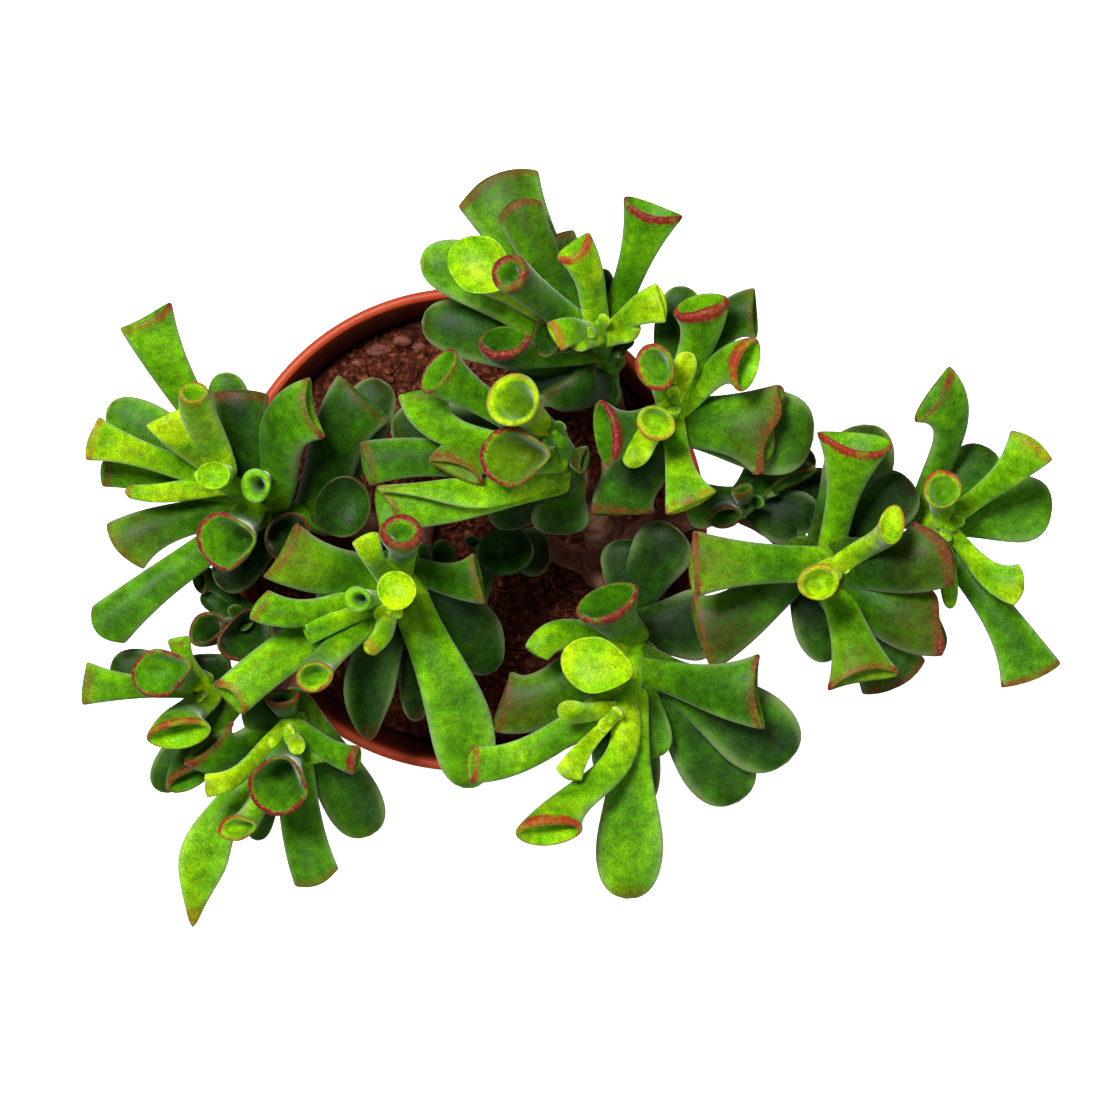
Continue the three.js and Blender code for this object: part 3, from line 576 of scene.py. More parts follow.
def addShoot(name, shoot, templates, material):
    bm = bmesh.new()
    layers = layersOf(bm)
    rng = random.Random(name)
    x, y, z = shoot["stem"][0]
    points = [(x, y, z), (x, y, z + stemShape["upright"]), *shoot["stem"][1:]]
    ages = [row["age"] for row in shoot["cups"]]
    stemAge = shoot.get("stemAge", sum(ages) / len(ages))
    addStem(bm, layers, templates["stem"], points, shoot["radii"], stemAge, rng)
    for row in shoot["cups"]:
        addCup(bm, layers, templates["cup"], points, row, rng)
    budAge = shoot.get("stemAge", min(ages))
    for row in shoot["blades"] + budRows(points, budAge, rng):
        addBlade(bm, layers, templates["blade"], points, row, rng)
    newPiece(name + "Fine", bm, material, name)


# Leaf material: young leaves lime, old ones deep green, red lips and fine dots, with a painted highlight on
# the margins, painted light across the faces and painted shade in the basins

leafLook = {
    "ages": [(0.0, (0.34, 0.53, 0.001)), (0.25, (0.125, 0.34, 0.001)), (0.5, (0.052, 0.19, 0.001)),
             (0.7, (0.026, 0.1, 0.001)), (0.85, (0.014, 0.055, 0.002)), (1.0, (0.008, 0.028, 0.003))],
    # darker colours of the painted shade in the basins
    "basinShadeColors": [(0.0, (0.1, 0.22, 0.002)), (0.25, (0.022, 0.09, 0.003)), (0.5, (0.01, 0.042, 0.004)),
               (0.8, (0.004, 0.017, 0.002))],
    "redYoung": (0.42, 0.06, 0.004, 1),
    "redOld": (0.15, 0.012, 0.007, 1),
    "blush": (0.16, 0.07, 0.004, 1),
    # colour of the painted highlight on the margins
    "edgeHighlight": (0.42, 0.52, 0.22, 1),
    "foot": (0.42, 0.52, 0.01, 1),
    "fleck": (0.5, 0.16, 0.09, 1),
    "dot": (0.4, 0.55, 0.3, 1),
    "patches": 90,
    "red": 230,
    "mottle": 420,
    "speckle": 900,
    "flecks": 1300,
    "dots": 1500,
    "grain": 2600,
    "footShare": 0.35,
    "basinShadeShare": 0.92,
    "edgeHighlightShare": 0.5,
    "specular": 0.09,
    "sheen": 0.3,
}


def leafMaterial():
    look = leafLook
    material, tree, shader = newMaterial("jadeLeaf")
    coords = objectCoords(tree)
    tintAndShade, mark, toneAndLight = [addNode(tree, "ShaderNodeAttribute", attribute_name=name).outputs["Vector"]
                        for name in ("leafTintAndShade", "leafMark", "leafToneAndLight")]
    age, lip, basin = partsOf(tree, tintAndShade)
    red, edge, along = partsOf(tree, mark)
    blush, side = partsOf(tree, toneAndLight)[:2]
    patches = noiseOn(tree, coords, look["patches"], 3)
    mottle = noiseOn(tree, coords, look["mottle"], 4, 0.6)
    grain = noiseOn(tree, coords, look["grain"], 2, 0.6)
    speckle = noiseOn(tree, coords, look["speckle"], 4, 0.7)
    older = mathNode(tree, "ADD", age, rangeOf(tree, patches, 0.32, 0.68, (-0.16, 0.14)), clamp=True)
    color = rampColor(tree, older, look["ages"])

    # the foot of a young leaf is paler, and painted shade darkens the basin of every leaf, more in deeper
    # basins
    footShare = mathNode(tree, "MULTIPLY", rangeOf(tree, along, 0.35, 0.0), look["footShare"])
    youth = mathNode(tree, "SUBTRACT", 1.0, age, clamp=True)
    footShare = mathNode(tree, "MULTIPLY", footShare, youth)
    color = mixColor(tree, footShare, color, look["foot"])
    # painted shade: the basin is mixed towards the darker colours
    basinShadeShare = mathNode(tree, "MULTIPLY", basin, look["basinShadeShare"])
    color = mixColor(tree, basinShadeShare, color, rampColor(tree, older, look["basinShadeColors"]))

    # painted shade across the broad faces and painted highlight towards the sides, with fine mottling and
    # grain, and a painted highlight on the margins
    color = shade(tree, color, side, 0.0, 0.9, (0.82, 1.45))
    color = shade(tree, color, mottle, 0.3, 0.7, (0.6, 1.35))
    color = shade(tree, color, grain, 0.3, 0.7, (0.6, 1.42))
    # painted highlight mixed in along the margins
    color = mixColor(tree, mathNode(tree, "MULTIPLY", edge, look["edgeHighlightShare"]), color, look["edgeHighlight"])

    # a speckled blush, and red lips that break up into specks
    blushShare = mathNode(tree, "MULTIPLY", blush, rangeOf(tree, speckle, 0.4, 0.6, (0.35, 1.2)), clamp=True)
    color = mixColor(tree, blushShare, color, look["blush"])
    patchy = rangeOf(tree, noiseOn(tree, coords, look["red"], 4, 0.65), 0.36, 0.6, (0.35, 1.05))
    ragged = mathNode(tree, "ADD", lip, rangeOf(tree, speckle, 0.3, 0.7, (-0.25, 0.25)))
    lipShare = mathNode(tree, "MULTIPLY", rangeOf(tree, ragged, 0.15, 0.6), red)
    lipShare = mathNode(tree, "MULTIPLY", lipShare, patchy, clamp=True)
    redColor = mixColor(tree, rangeOf(tree, age, 0.05, 0.45), look["redYoung"], look["redOld"])
    flecks = rangeOf(tree, noiseOn(tree, coords, look["flecks"], 3, 0.7), 0.54, 0.66, (0, 0.45))
    redColor = mixColor(tree, flecks, redColor, look["fleck"])
    color = mixColor(tree, lipShare, color, redColor)

    # dots of the leaf's pores
    cells = addNode(tree, "ShaderNodeTexVoronoi", {"Vector": coords, "Scale": look["dots"]})
    distance = cells.outputs["Distance"]
    color = mixColor(tree, rangeOf(tree, distance, 0.2, 0.08, (0, 0.08)), color, look["dot"])

    setSurface(tree, shader, color, rangeOf(tree, mottle, 0.3, 0.7, (0.38, 0.52)), look["specular"])
    shader.inputs["Sheen Weight"].default_value = look["sheen"]
    shader.inputs["Sheen Roughness"].default_value = 0.3
    bumpOn(tree, shader, [(mottle, 0.00012, 0.5), (distance, 0.00003, 0.4)])
    return material


# Each shoot has a stem, given by points and radii, with its cups and its flat blades.
# Tips are placed as they appear in a plan seen from above.

shoots = {}
shoots["shoot_left"] = {
    "stem": [[-34, 2, 132], [-46, 5, 148], [-54, 10, 160], [-59, 13, 172]],
    "radii": [3.6, 3.2, 2.8, 2.4],
    "cups": [
        leaf(152, -73.7, 49.3, 178, 13.6, 6, 21, 3, 6.5, 0.42, 1.4, skew=0.05, bulge=0),
        leaf(165, -68.8, 25.6, 182, 10, 5, 22, 12, 4.5, 0.12, 0.3, flare=4),
        leaf(160, -86, 21, 176, 10.5, 5.5, 73, 6, 5.4, 0.22, 1.3, flare=5, bulge=0.04, notch=0),
        leaf(154, -83.3, 13, 162, 6.5, 4.5, 85, 20, 5.5, 0.5, 1),
        leaf(162, -77.3, 8.6, 169, 3.2, 2.8, 80, 10, 5.2, 0.22, 1.6, bulge=0.3, notch=0, redBand=1),
        leaf(166, -62.6, 31.8, 192, 6.8, 6, 0, 55, 9, 0.17, 1.5, lip=0.7, flare=4),
        leaf(150, -34.2, 28.2, 174, 14.5, 6.5, 104, 3, 11.5, 0.58, 1.2, bulge=-0.05, flare=2),
        leaf(151, -51.8, 31, 165, 13.5, 5.5, 178, 0, 11, 0.85, 0.9, bulge=0.08, notch=0),
        leaf(151, -78.2, -4, 158, 13.5, 6, 129, -5, 7.5, 0.62, 0.8, bulge=0.16, notch=0, blush=0.2),
        leaf(149, -82.5, -22.5, 156, 12, 6, 132, -4, 7.5, 0.52, 0.2, bulge=0.22, notch=0),
        leaf(153, -54.8, -3, 178, 14.5, 15, 95, 70, 8, 0.45, 1.3,
             spoon=0.45, lip=0.8, lipSwell=0.4, basin=0.8, wave=0.05),
        leaf(138, -23, 30.2, 158, 16, 6.5, 138, 3, 12, 0.85, 0.45, notch=0.02),
        leaf(134, -27.5, 5, 154, 14.5, 14, 90, 82, 8, 1, 0.25, lip=0.4, basin=0.15),
        leaf(142, -40.5, -2, 156, 12, 12, 60, 65, 6, 0.95, 0.9),
        leaf(150, -48, 10, 176, 8, 7.5, 90, 82, 5, 0.3, 0, basin=1.1, lip=1),
        leaf(168, -58, 12.3, 184, 8, 7, 10, 84, 5, 0.12, 0, lip=0.4, basin=0.15),
    ],
    "blades": [
        leaf(150, -83.2, 28, 154, 12, 4, 70, 0, 6, 0.6),
        leaf(150, -55, 36.8, 156, 10, 4, 0, 10, 5, 0.6),
        leaf(136, -17.5, 34.5, 144, 13, 4, 145, 0, 6, 0.9),
        leaf(144, -57, -13.5, 150, 11, 4, 130, 0, 6, 0.95),
    ],
}
shoots["shoot_low_left"] = {
    "stem": [[-40, -20, 124], [-47, -21, 133], [-52, -21, 142]],
    "radii": [2.8, 2.6, 2.2],
    "cups": [
        leaf(130, -50, -25.5, 150, 14, 13, 0, 74, 7, 0.92, 0.9, wave=0.12, basin=0.8),
        leaf(136, -59.5, -23.5, 149, 9, 9, 40, 60, 5, 0.85, 0.8, wave=0.1, basin=0.8),
        leaf(139, -61, -12, 146, 7, 5, 100, 40, 4, 0.9, 0.4),
    ],
    "blades": [
        leaf(137, -60, -18.8, 142, 8, 4, 140, 0, 5, 0.9),
    ],
}
shoots["shoot_mid_left"] = {
    "stem": [[-12, -6, 138], [-15, -12, 152], [-17, -20, 168]],
    "radii": [3.3, 2.8, 2.3],
    "cups": [
        leaf(162, -15, -14.5, 184, 9, 9.8, 0, 80, 5.5, 0.05, 0.2, spoon=0, lip=0.35, basin=0.14),
        leaf(153, -13.9, -1, 190, 10, 9.4, 0, 68, 6.5, 0.45, 1.5, lip=1.35, lipSwell=0.1, basin=0.45),
        leaf(162, -24.2, -16.7, 180, 6.2, 7, 90, 78, 4.5, 0.28, 0, spoon=0, basin=1, lip=0.9),
        leaf(160, -22.2, -2.6, 180, 6.5, 4, 20, 18, 4.2, 0.2, 0.2),
        leaf(161, -35.7, -24.3, 174, 5.8, 4, 110, 8, 4, 0.25, 0, notch=0.02),
        leaf(155, -41.9, -5.4, 174, 15, 6, 58, 4, 11, 0.5, 1.1, bulge=-0.03, notch=0.02, blush=0.35),
        leaf(157, -47, -18, 180, 8, 4.5, 65, 8, 5.8, 0.35, 0.9, notch=0.02, skew=-0.06),
        leaf(151, -54, -40, 170, 10, 6.5, 134, 8, 10, 0.35, 1.2, notch=0.16),
        leaf(158, -34.2, -34.9, 188, 8.6, 7.6, 20, 78, 6.5, 0.27, 1.2, lip=0.7, basin=0.5),
        leaf(162, -21.2, -28.2, 178, 4, 3.4, 130, 15, 5, 0.15, 1.5, bulge=0.15),
        leaf(142, -4, -6.5, 150, 8.5, 8, 100, 50, 5, 0.9, 0.4),
        leaf(148, 3.9, -11.8, 158, 12, 5.5, 103, 3, 6.5, 0.65, 0.8, notch=0.02, bulge=0.05),
    ],
    "blades": [
        leaf(141, 8.5, -33.5, 136, 16.5, 5.5, 40, -8, 9, 0.92, 0, point=0.3),
        leaf(150, 0.8, -61.2, 150, 15.2, 6, 168, -12, 9, 0.42, waist=0.2),
        leaf(143, -21, -49.8, 144, 12, 4.5, 15, -5, 7.5, 0.85, 0.6, point=0.4),
        leaf(141, -33, -22, 138, 14, 5, 120, -8, 8, 0.95, 0),
        leaf(141, -10.5, -45.5, 136, 8, 4, 0, -8, 6, 0.95, 0.2),
    ],
}
shoots["shoot_corner_outer"] = {
    "stem": [[-52, -38, 132], [-58, -38.5, 142], [-63, -38, 153]],
    "radii": [2.8, 2.5, 2.2],
    "cups": [
        leaf(147, -87.6, -36.5, 158, 10, 6, 84, 4, 4.4, 0.42, 1.1, bulge=0.05, notch=0.02),
        leaf(147, -70, -33.8, 172, 11.5, 16.5, 105, 72, 7, 0.5, 1.4, lip=0.75, lipSwell=0.1, basin=0.35),
        leaf(149, -66, -26.3, 160, 5.5, 4, 10, 5, 3.6, 0.25, 0.5),
        leaf(146, -66.1, -48.2, 168, 15.5, 8.5, 8, 52, 7, 0.3, 0.9, lipSwell=-0.4, redBand=1),
        leaf(137, -63.5, -58.5, 150, 12.5, 6.5, 24, 50, 6, 0.65, 1.1, lip=0.7, lipSwell=-0.3, redBand=1.2),
    ],
    "blades": [
        leaf(142, -82.3, -32.5, 146, 11, 4.5, 80, -5, 6, 0.8),
        leaf(138, -70.5, -62, 142, 9.5, 4.5, 160, -5, 6, 0.7),
        leaf(140, -60, -29.3, 146, 12, 5, 0, 5, 6, 0.95),
    ],
}
shoots["shoot_corner_inner"] = {
    "stem": [[-41, -41, 134], [-42, -45, 143], [-42, -49, 154]],
    "radii": [2.8, 2.5, 2.2],
    "cups": [
        leaf(147, -42.7, -60.3, 174, 14.5, 15.5, 165, 72, 8, 0.55, 1.5,
             spoon=0.3, lip=0.8, lipSwell=0.4, basin=0.7, wave=0),
        leaf(150, -59.3, -60.3, 168, 5.5, 3.6, 95, 0, 4, 0.12, 0.5, notch=0),
        leaf(145, -52.3, -70.3, 164, 6.5, 10.5, 100, 65, 5, 0.3, 1.2, lip=0.65, lipSwell=0.5),
        leaf(142, -33.8, -81.8, 148, 11.5, 5.5, 22, 0, 8.5, 0.5, 0.8, bulge=0.1, notch=0, flare=1.5),
        leaf(147, -24.5, -54.5, 160, 7, 3.8, 78, 20, 5, 0.55, 1, lip=0.9, lipSwell=-0.3),
        leaf(144, -58.8, -50.6, 158, 15, 5.5, 40, 12, 7, 0.6, 1.4, lip=0.85, redBand=1.3),
        leaf(146, -42, -39.5, 158, 8.5, 5, 0, 40, 5, 0.8, 1.3),
        leaf(148, -33.5, -54.5, 152, 6, 4, 10, -5, 4, 0.4, 0.3, notch=0),
    ],
    "blades": [
        leaf(140, -62.8, -94, 144, 12, 5.5, 176, -8, 7, 0.25, 0.7,
             bend=0.55, waist=0.4, point=0.6, pointFrom=0.78, wave=0),
        leaf(151, -38.3, -53.2, 162, 4, 2.6, 0, 10, 3.5, 0.12, 0),
        leaf(146, -51.5, -43.5, 152, 9, 4.5, 95, 0, 6, 0.9),
        leaf(137, -47.5, -73.5, 140, 8, 4, 0, -5, 5, 0.85),
        leaf(138, -21, -72.3, 138, 14, 5.5, 25, -5, 8, 0.78),
    ],
}
shoots["shoot_centre"] = {
    "stemAge": 0.75,
    "stem": [[26, 13, 166], [24.5, 17.5, 177], [22, 22, 188]],
    "radii": [3.2, 2.8, 2.4],
    "cups": [
        leaf(174, -8.3, 31.2, 186, 12.6, 5.5, 2, 4, 6, 0.4, 0.4, notch=0.02, flare=4),
        leaf(178, -5, 37, 198, 12.5, 7.5, 52, 40, 6, 0.45, 1.1, flare=4.5, lip=0.6, basin=0.5),
        leaf(170, -22, 15.2, 178, 10.5, 5.5, 104, 5, 8, 0.64, 0.9),
        leaf(172, -1, 13.5, 184, 13.8, 4.4, 158, 20, 8, 0.6, 1.4, notch=0.12, blush=0.3),
        leaf(181, 12.4, 30, 202, 13, 13, 60, 66, 6, 0.14, 0.8, lip=1, lipSwell=0.2, basin=1),
        leaf(176, 12.8, 16.8, 196, 14, 18.5, 95, 68, 8, 0.48, 1.3,
             spoon=0.55, lip=0.8, lipSwell=0.4, basin=0.6, blush=0.3),
        leaf(170, -18.7, 4.6, 178, 10.5, 6.5, 94, 8, 9, 0.42, 1,
             bend=0.5, notch=0.3, notchTurn=20, flare=1, basin=0.6),
        leaf(171, 28.8, 16, 180, 6.5, 4.5, 78, 20, 4, 0.8, 0.5),
    ],
    "blades": [
        leaf(169, 23, -1.5, 160, 13, 5, 0, -20, 7, 0.85),
        leaf(171, -19.8, 7.4, 184, 8.5, 3.4, 92, 0, 6, 0.3, 0.5,
             bend=0.5, sway=-2, roll=30, point=0.8, pointFrom=0.5),
        leaf(169, -16.5, 22.5, 162, 15, 4.5, 100, 0, 8, 0.9),
        leaf(171, 12.5, -0.5, 153, 13, 4.5, 10, -12, 7, 0.95),
    ],
}
shoots["shoot_low_centre"] = {
    "stem": [[12, -3, 112], [7, -4, 120], [3, -5, 127]],
    "radii": [2.6, 2.4, 2],
    "cups": [
        leaf(116, 10.5, -5.5, 134, 14, 12.5, 0, 80, 7, 0.97, 0, basin=0.3),
    ],
    "blades": [
        leaf(120, 0, -22, 120, 11, 4.5, 0, -5, 6, 0.97),
        leaf(120, 21, -5.5, 118, 12, 4.5, 95, 0, 6, 0.97),
    ],
}
shoots["shoot_top"] = {
    "stem": [[35, 32, 150], [34, 40, 163], [32, 47.5, 184]],
    "radii": [3.2, 2.8, 2.4],
    "cups": [
        leaf(168, 45, 74.9, 186, 14.2, 7, 162, 20, 6, 0.48, 1.2, notch=0.12, flare=3.8, lipSwell=-0.3),
        leaf(176, 46.5, 52.8, 190, 9.5, 4, 104, 6, 3.6, 0.12, 0.2, bulge=0.12, flare=1.7),
        leaf(174, 26.6, 66, 194, 9.5, 5, 38, 26, 6.2, 0.24, 1.4, notch=0.2, lipSwell=-0.3),
        leaf(164, 20.8, 66.5, 172, 13, 6, 27, 5, 11, 0.8, 0.6, bulge=0.1, notch=0),
        leaf(171, 11.6, 59.8, 204, 9.4, 9, 55, 64, 7, 0.5, 1.5, lip=1.35, lipSwell=0.1, basin=0.4),
        leaf(170, 4.8, 61.6, 192, 13.5, 17.5, 62, 74, 7, 0.18, 0, spoon=0.35, lip=0.35, basin=0.12),
        leaf(166, 10.2, 43.6, 186, 12.3, 8.5, 10, 64, 6.5, 0.6, 1.3,
             lip=0.75, lipSwell=-0.6, redBand=1.2, basin=0.6),
        leaf(158, 9, 79.6, 162, 20, 6, 24, 0, 12, 0.56, 0.9, bulge=0.14, notch=0, blush=0.1),
        leaf(161, 14, 74.3, 176, 11, 5.5, 22, 3, 8, 0.68, 1.3, bulge=0.2, notch=0, blush=0.12),
        leaf(177, 22.3, 45, 192, 7.5, 3.2, 118, 6, 6, 0.15, 2, notch=0.02),
        leaf(170, 20, 44.5, 180, 9, 8, 90, 60, 5, 0.85, 0.5),
        leaf(158, 25.5, 34.5, 168, 16, 5, 28, 0, 11, 0.9, 0.35, notch=0, redBand=0.7),
    ],
    "blades": [
        leaf(158, -9.3, 48.5, 164, 14, 5, 85, -5, 8, 0.8),
        leaf(163, -9.8, 62.5, 178, 14.5, 6, 88, 5, 8.5, 0.42),
        leaf(177, 26, 42.2, 188, 5.5, 3, 140, 5, 4.5, 0.12, 0.8),
        leaf(166, 39.5, 42, 170, 6, 4, 30, -10, 5, 0.8),
        leaf(166, 33.5, 61, 170, 5, 4, 5, 0, 4, 0.9),
        leaf(174, 42, 45.4, 184, 6, 3.5, 60, 10, 4, 0.15, 0.3),
        leaf(160, 14.5, 36.5, 160, 13, 4.5, 60, -5, 8, 0.95, 0),
    ],
}
shoots["shoot_top_right"] = {
    "stem": [[48, 22, 155], [49, 26, 170], [50, 30, 184]],
    "radii": [3.1, 2.8, 2.4],
    "cups": [
        leaf(177, 45.7, 37.8, 200, 11, 9.6, 112, 76, 6, 0.35, 1.3, lip=0.85, lipSwell=0.25, basin=0.6),
        leaf(174, 67, 38.5, 192, 13.2, 8.5, 72, 42, 6, 0.28, 1.3, lip=0.72, lipSwell=-0.45),
        leaf(174, 54, 6, 188, 13, 5.5, 24, 3, 5.5, 0.25, 1.4, notch=0.03, flare=4),
        leaf(180, 45.8, 24.6, 200, 9.5, 8, 150, 80, 5, 0.15, 1.2, lip=0.7, basin=0.4),
        leaf(168, 72.3, 22.8, 178, 22, 6, 75, 4, 12, 0.62, 1.5, ruffle=0.05, notch=0, lip=0.7, blush=0.2),
        leaf(174, 34.2, 22.2, 190, 15.8, 7.5, 97, 44, 6, 0.6, 1.3,
             lip=0.72, lipSwell=-0.6, redBand=1.2, basin=0.8),
        leaf(160, 38, 4, 162, 15, 5.5, 2, -5, 13, 0.85, 1, notch=0),
        leaf(176, 56.5, 52, 194, 13, 7.5, 14, 45, 7, 0.4, 1.4, lip=0.85, lipSwell=-0.6),
        leaf(168, 68.6, 50.5, 180, 11.5, 6, 92, 8, 7, 0.8, 0.6, notch=0.02),
    ],
    "blades": [
        leaf(180, 53, 41.5, 190, 5.5, 3.5, 0, 20, 3.5, 0.05),
        leaf(178, 41, 14, 188, 7, 4, 10, -10, 4, 0.15),
        leaf(166, 83, 21, 170, 20, 5, 80, -5, 9, 0.7, 0.2),
        leaf(166, 52.5, 57, 174, 11, 4.5, 170, 5, 6, 0.8),
        leaf(165, 62, 44, 170, 12, 4.5, 110, 0, 7, 0.9),
    ],
}
shoots["shoot_branch"] = {
    "stem": [[66, 7, 150], [67, 6, 158], [68, 5, 166]],
    "radii": [2.5, 2.3, 2],
    "cups": [
        leaf(160, 62, 2.5, 170, 8.5, 6, 10, 50, 5, 0.8, 0.7),
        leaf(162, 66, 9, 174, 5, 4, 20, 30, 4, 0.85, 0.6),
        leaf(156, 77, 10.6, 163, 14.5, 6, 27, 12, 6, 0.75, 0.7, bulge=-0.05, lip=0.9),
    ],
    "blades": [
        leaf(154, 80, 1, 156, 12, 4.5, 80, 0, 6, 0.95),
        leaf(154, 73, 15, 156, 11, 4.5, 160, 0, 6, 0.92),
        leaf(153, 90, 9.5, 152, 10, 4.5, 88, 0, 6, 0.93),
        leaf(154, 84, 2.5, 156, 10, 4.5, 80, 0, 6, 0.95),
        leaf(153, 53, 5, 150, 11, 4.5, 90, 0, 6, 0.9),
        leaf(153, 83, 17.5, 156, 8, 4, 120, 0, 5, 0.8),
    ],
}
shoots["shoot_right"] = {
    "stem": [[80, -4, 150], [85, -7, 162], [88, -9, 176]],
    "radii": [3.3, 2.9, 2.4],
    "cups": [
        leaf(168, 92.3, 20.4, 188, 18.2, 9.5, 171, 22, 6.5, 0.35, 1.3,
             wave=0.06, bulge=0.03, notch=0.08, lipSwell=-0.3, flare=4),
        leaf(178, 101.2, 0.8, 196, 6, 10.5, 165, 62, 5, 0.16, 1.1,
             spoon=0, lip=0.45, lipSwell=0.5, basin=0.18),
        leaf(180, 84, -12.6, 200, 9.5, 9, 20, 78, 6, 0.15, 1, lip=0.65, lipSwell=-0.3, basin=0.35),
        leaf(172, 55, -8.3, 182, 15, 5.5, 91, 2, 8.5, 0.48, 1.3, notch=0.02, bulge=0.03, blush=0.35),
        leaf(158, 57, -24.4, 161, 18, 5.5, 105, 0, 11, 0.78, 0.9, notch=0, bulge=0.04, blush=0.2),
        leaf(170, 110.8, -6, 182, 17, 6.5, 122, 5, 12, 0.85, 1.3, bulge=0.2, notch=0, lip=0.6, blush=0.15),
        leaf(166, 111, -21.5, 172, 17.5, 6, 103, 0, 13, 0.8, 1.4,
             bulge=0.08, notch=0, ruffle=0.03, blush=0.25),
        leaf(166, 94.5, -35.8, 180, 17, 6.5, 13, 8, 7.5, 0.42, 1.4,
             bulge=-0.05, notch=0.1, flare=3.6, blush=0.3),
        leaf(160, 101.5, -34.8, 162, 16.5, 6, 28, -3, 11, 0.8, 0.9, bulge=0.12, notch=0),
    ],
    "blades": [
        leaf(153, 88, -30.5, 154, 11, 4.5, 40, -5, 7, 0.95),
        leaf(160, 106, 11, 168, 14, 5, 130, 0, 7, 0.95),
        leaf(160, 94.5, 24.6, 168, 16, 5, 5, 5, 7, 0.85),
    ],
}
shoots["shoot_far_right"] = {
    "stem": [[104, 3, 148], [111, 1.5, 158], [115.5, 0, 170]],
    "radii": [3, 2.7, 2.3],
    "cups": [
        leaf(156, 111, 31.2, 178, 15, 6, 58, 15, 6.5, 0.5, 1.5),
        leaf(166, 113, 9.2, 188, 9, 9.4, 30, 78, 5.5, 0.27, 1.2, spoon=0, lip=0.7, lipSwell=0.4, basin=0.5),
        leaf(164, 134, 19.4, 182, 11.5, 5, 145, 5, 4.6, 0.24, 1.3, bulge=0.06, notch=0.02),
        leaf(165, 130.2, -13.2, 176, 9.5, 4.2, 84, 0, 3.6, 0.2, 0.2, bulge=0.16, notch=0, flare=2.2),
        leaf(158, 133.7, -34.2, 164, 15, 6, 22, -5, 7, 0.5, 1.5, bulge=0.06, notch=0, flare=3.8, wave=0.005),
    ],
    "blades": [
        leaf(158, 139, 4.5, 160, 16, 5, 85, 0, 7, 0.55),
        leaf(156, 124, 19, 158, 12, 4.5, 150, 0, 6, 0.65),
        leaf(163, 114.8, -19, 168, 4, 4, 0, -10, 3.8, 0.3, 0),
    ],
}
shoots["shoot_bottom"] = {
    "stem": [[40, -20, 138], [41.5, -30, 152], [39, -40, 165], [35, -45, 176]],
    "radii": [3.4, 3.1, 2.7, 2.3],
    "cups": [
        leaf(150, 34.4, -17.4, 174, 16, 9.5, 25, 54, 9, 0.58, 1.2, lip=0.68, lipSwell=-0.4, basin=1),
        leaf(160, 32, -32.2, 184, 13, 18.5, 76, 74, 7, 0.08, 0.3, spoon=0.35, lip=0.35, basin=0.12),
        leaf(150, 18, -29, 168, 6.5, 4.2, 148, 0, 8, 0.3, 0.1, notch=0),
        leaf(146, 10.2, -40.8, 152, 14.5, 5.5, 73, 0, 12, 0.72, 1.1, notch=0.02, blush=0.3),
        leaf(163, 2.8, -55.3, 172, 9, 4, 85, 14, 7, 0.33, 1.6, lip=0.72),
        leaf(170, 25.4, -57.6, 182, 6.4, 3.4, 156, 4, 2.8, 0.12, 0.1, bulge=0.1, notch=0, flare=2.4),
        leaf(167, 20.6, -71, 188, 14.5, 8, 180, 48, 7, 0.25, 1.3,
             lead=45, veer=-30, skew=0.22, bend=0.5, flare=6, lip=0.8, lipSwell=-0.4),
        leaf(156, 70, -38.2, 170, 17.5, 6, 94, 4, 6.5, 0.62, 1.4, flare=1.8, bulge=-0.04, notch=0.02),
    ],
    "blades": [
        leaf(156, 45.5, -54, 158, 10, 4.5, 10, -10, 7, 0.65, 0.2),
        leaf(152, 33.5, -58, 152, 7.5, 4.5, 175, -8, 6, 0.85, 0),
        leaf(170, 24.6, -40.4, 182, 6.5, 3, 12, 8, 3.8, 0.1, 0.2),
        leaf(162, 38.8, -87.2, 162, 16, 6, 174, -8, 8.5, 0.36, 0.4, waist=0.3),
        leaf(151, 43, -65, 148, 8, 4, 0, -10, 5, 0.8),
        leaf(150, 65.5, -64.3, 148, 17, 5.5, 30, -8, 7, 0.85, 0),
        leaf(152, 77, -55, 156, 18.5, 5.5, 40, -5, 7, 0.8, 0),
        leaf(146, 60, -22, 148, 17, 5, 100, 0, 9, 0.95),
        leaf(142, 51, 0, 150, 14, 5, 140, 0, 8, 0.95),
        leaf(141, 39, -2.5, 144, 12, 4.5, 0, 0, 8, 0.97, 0),
    ],
}

# Woody branches, with their points, their radii and the shoot that they carry
mainWood = [
    ([[33, -11, 80], [34, -8, 104], [34, -4, 122], [33, 0, 138]], [5.5, 5.2, 4.7, 4], None),
    ([[33, -1, 134], [31, 4, 148]], [4, 3.6, 3.3], "shoot_centre"),
    ([[34, -4, 122], [37, 12, 134], [36, 25, 141]], [4.2, 3.7, 3.3], "shoot_top"),
    ([[36, 4, 127], [42, 11, 138], [46, 18, 144]], [3.6, 3.2], "shoot_top_right"),
    ([[34, -7, 114], [48, 1, 129], [60, 5, 136], [69, 5, 139]], [4.6, 4.2, 3.9, 3.6], None),
    ([[67, 5, 138], [74, 1, 141]], [3.6, 3.5, 3.4], "shoot_right"),
    ([[67, 5, 138], [82, 8, 140], [97, 6, 140]], [3.6, 3.1], "shoot_far_right"),
    ([[61, 5, 136], [64, 7, 140]], [3, 2.8, 2.6], "shoot_branch"),
    ([[34, -9, 108], [37, -15, 122]], [4.4, 3.9, 3.5], "shoot_bottom"),
    ([[32, -9, 100], [21, -5, 103]], [3.4, 3, 2.7], "shoot_low_centre"),
]
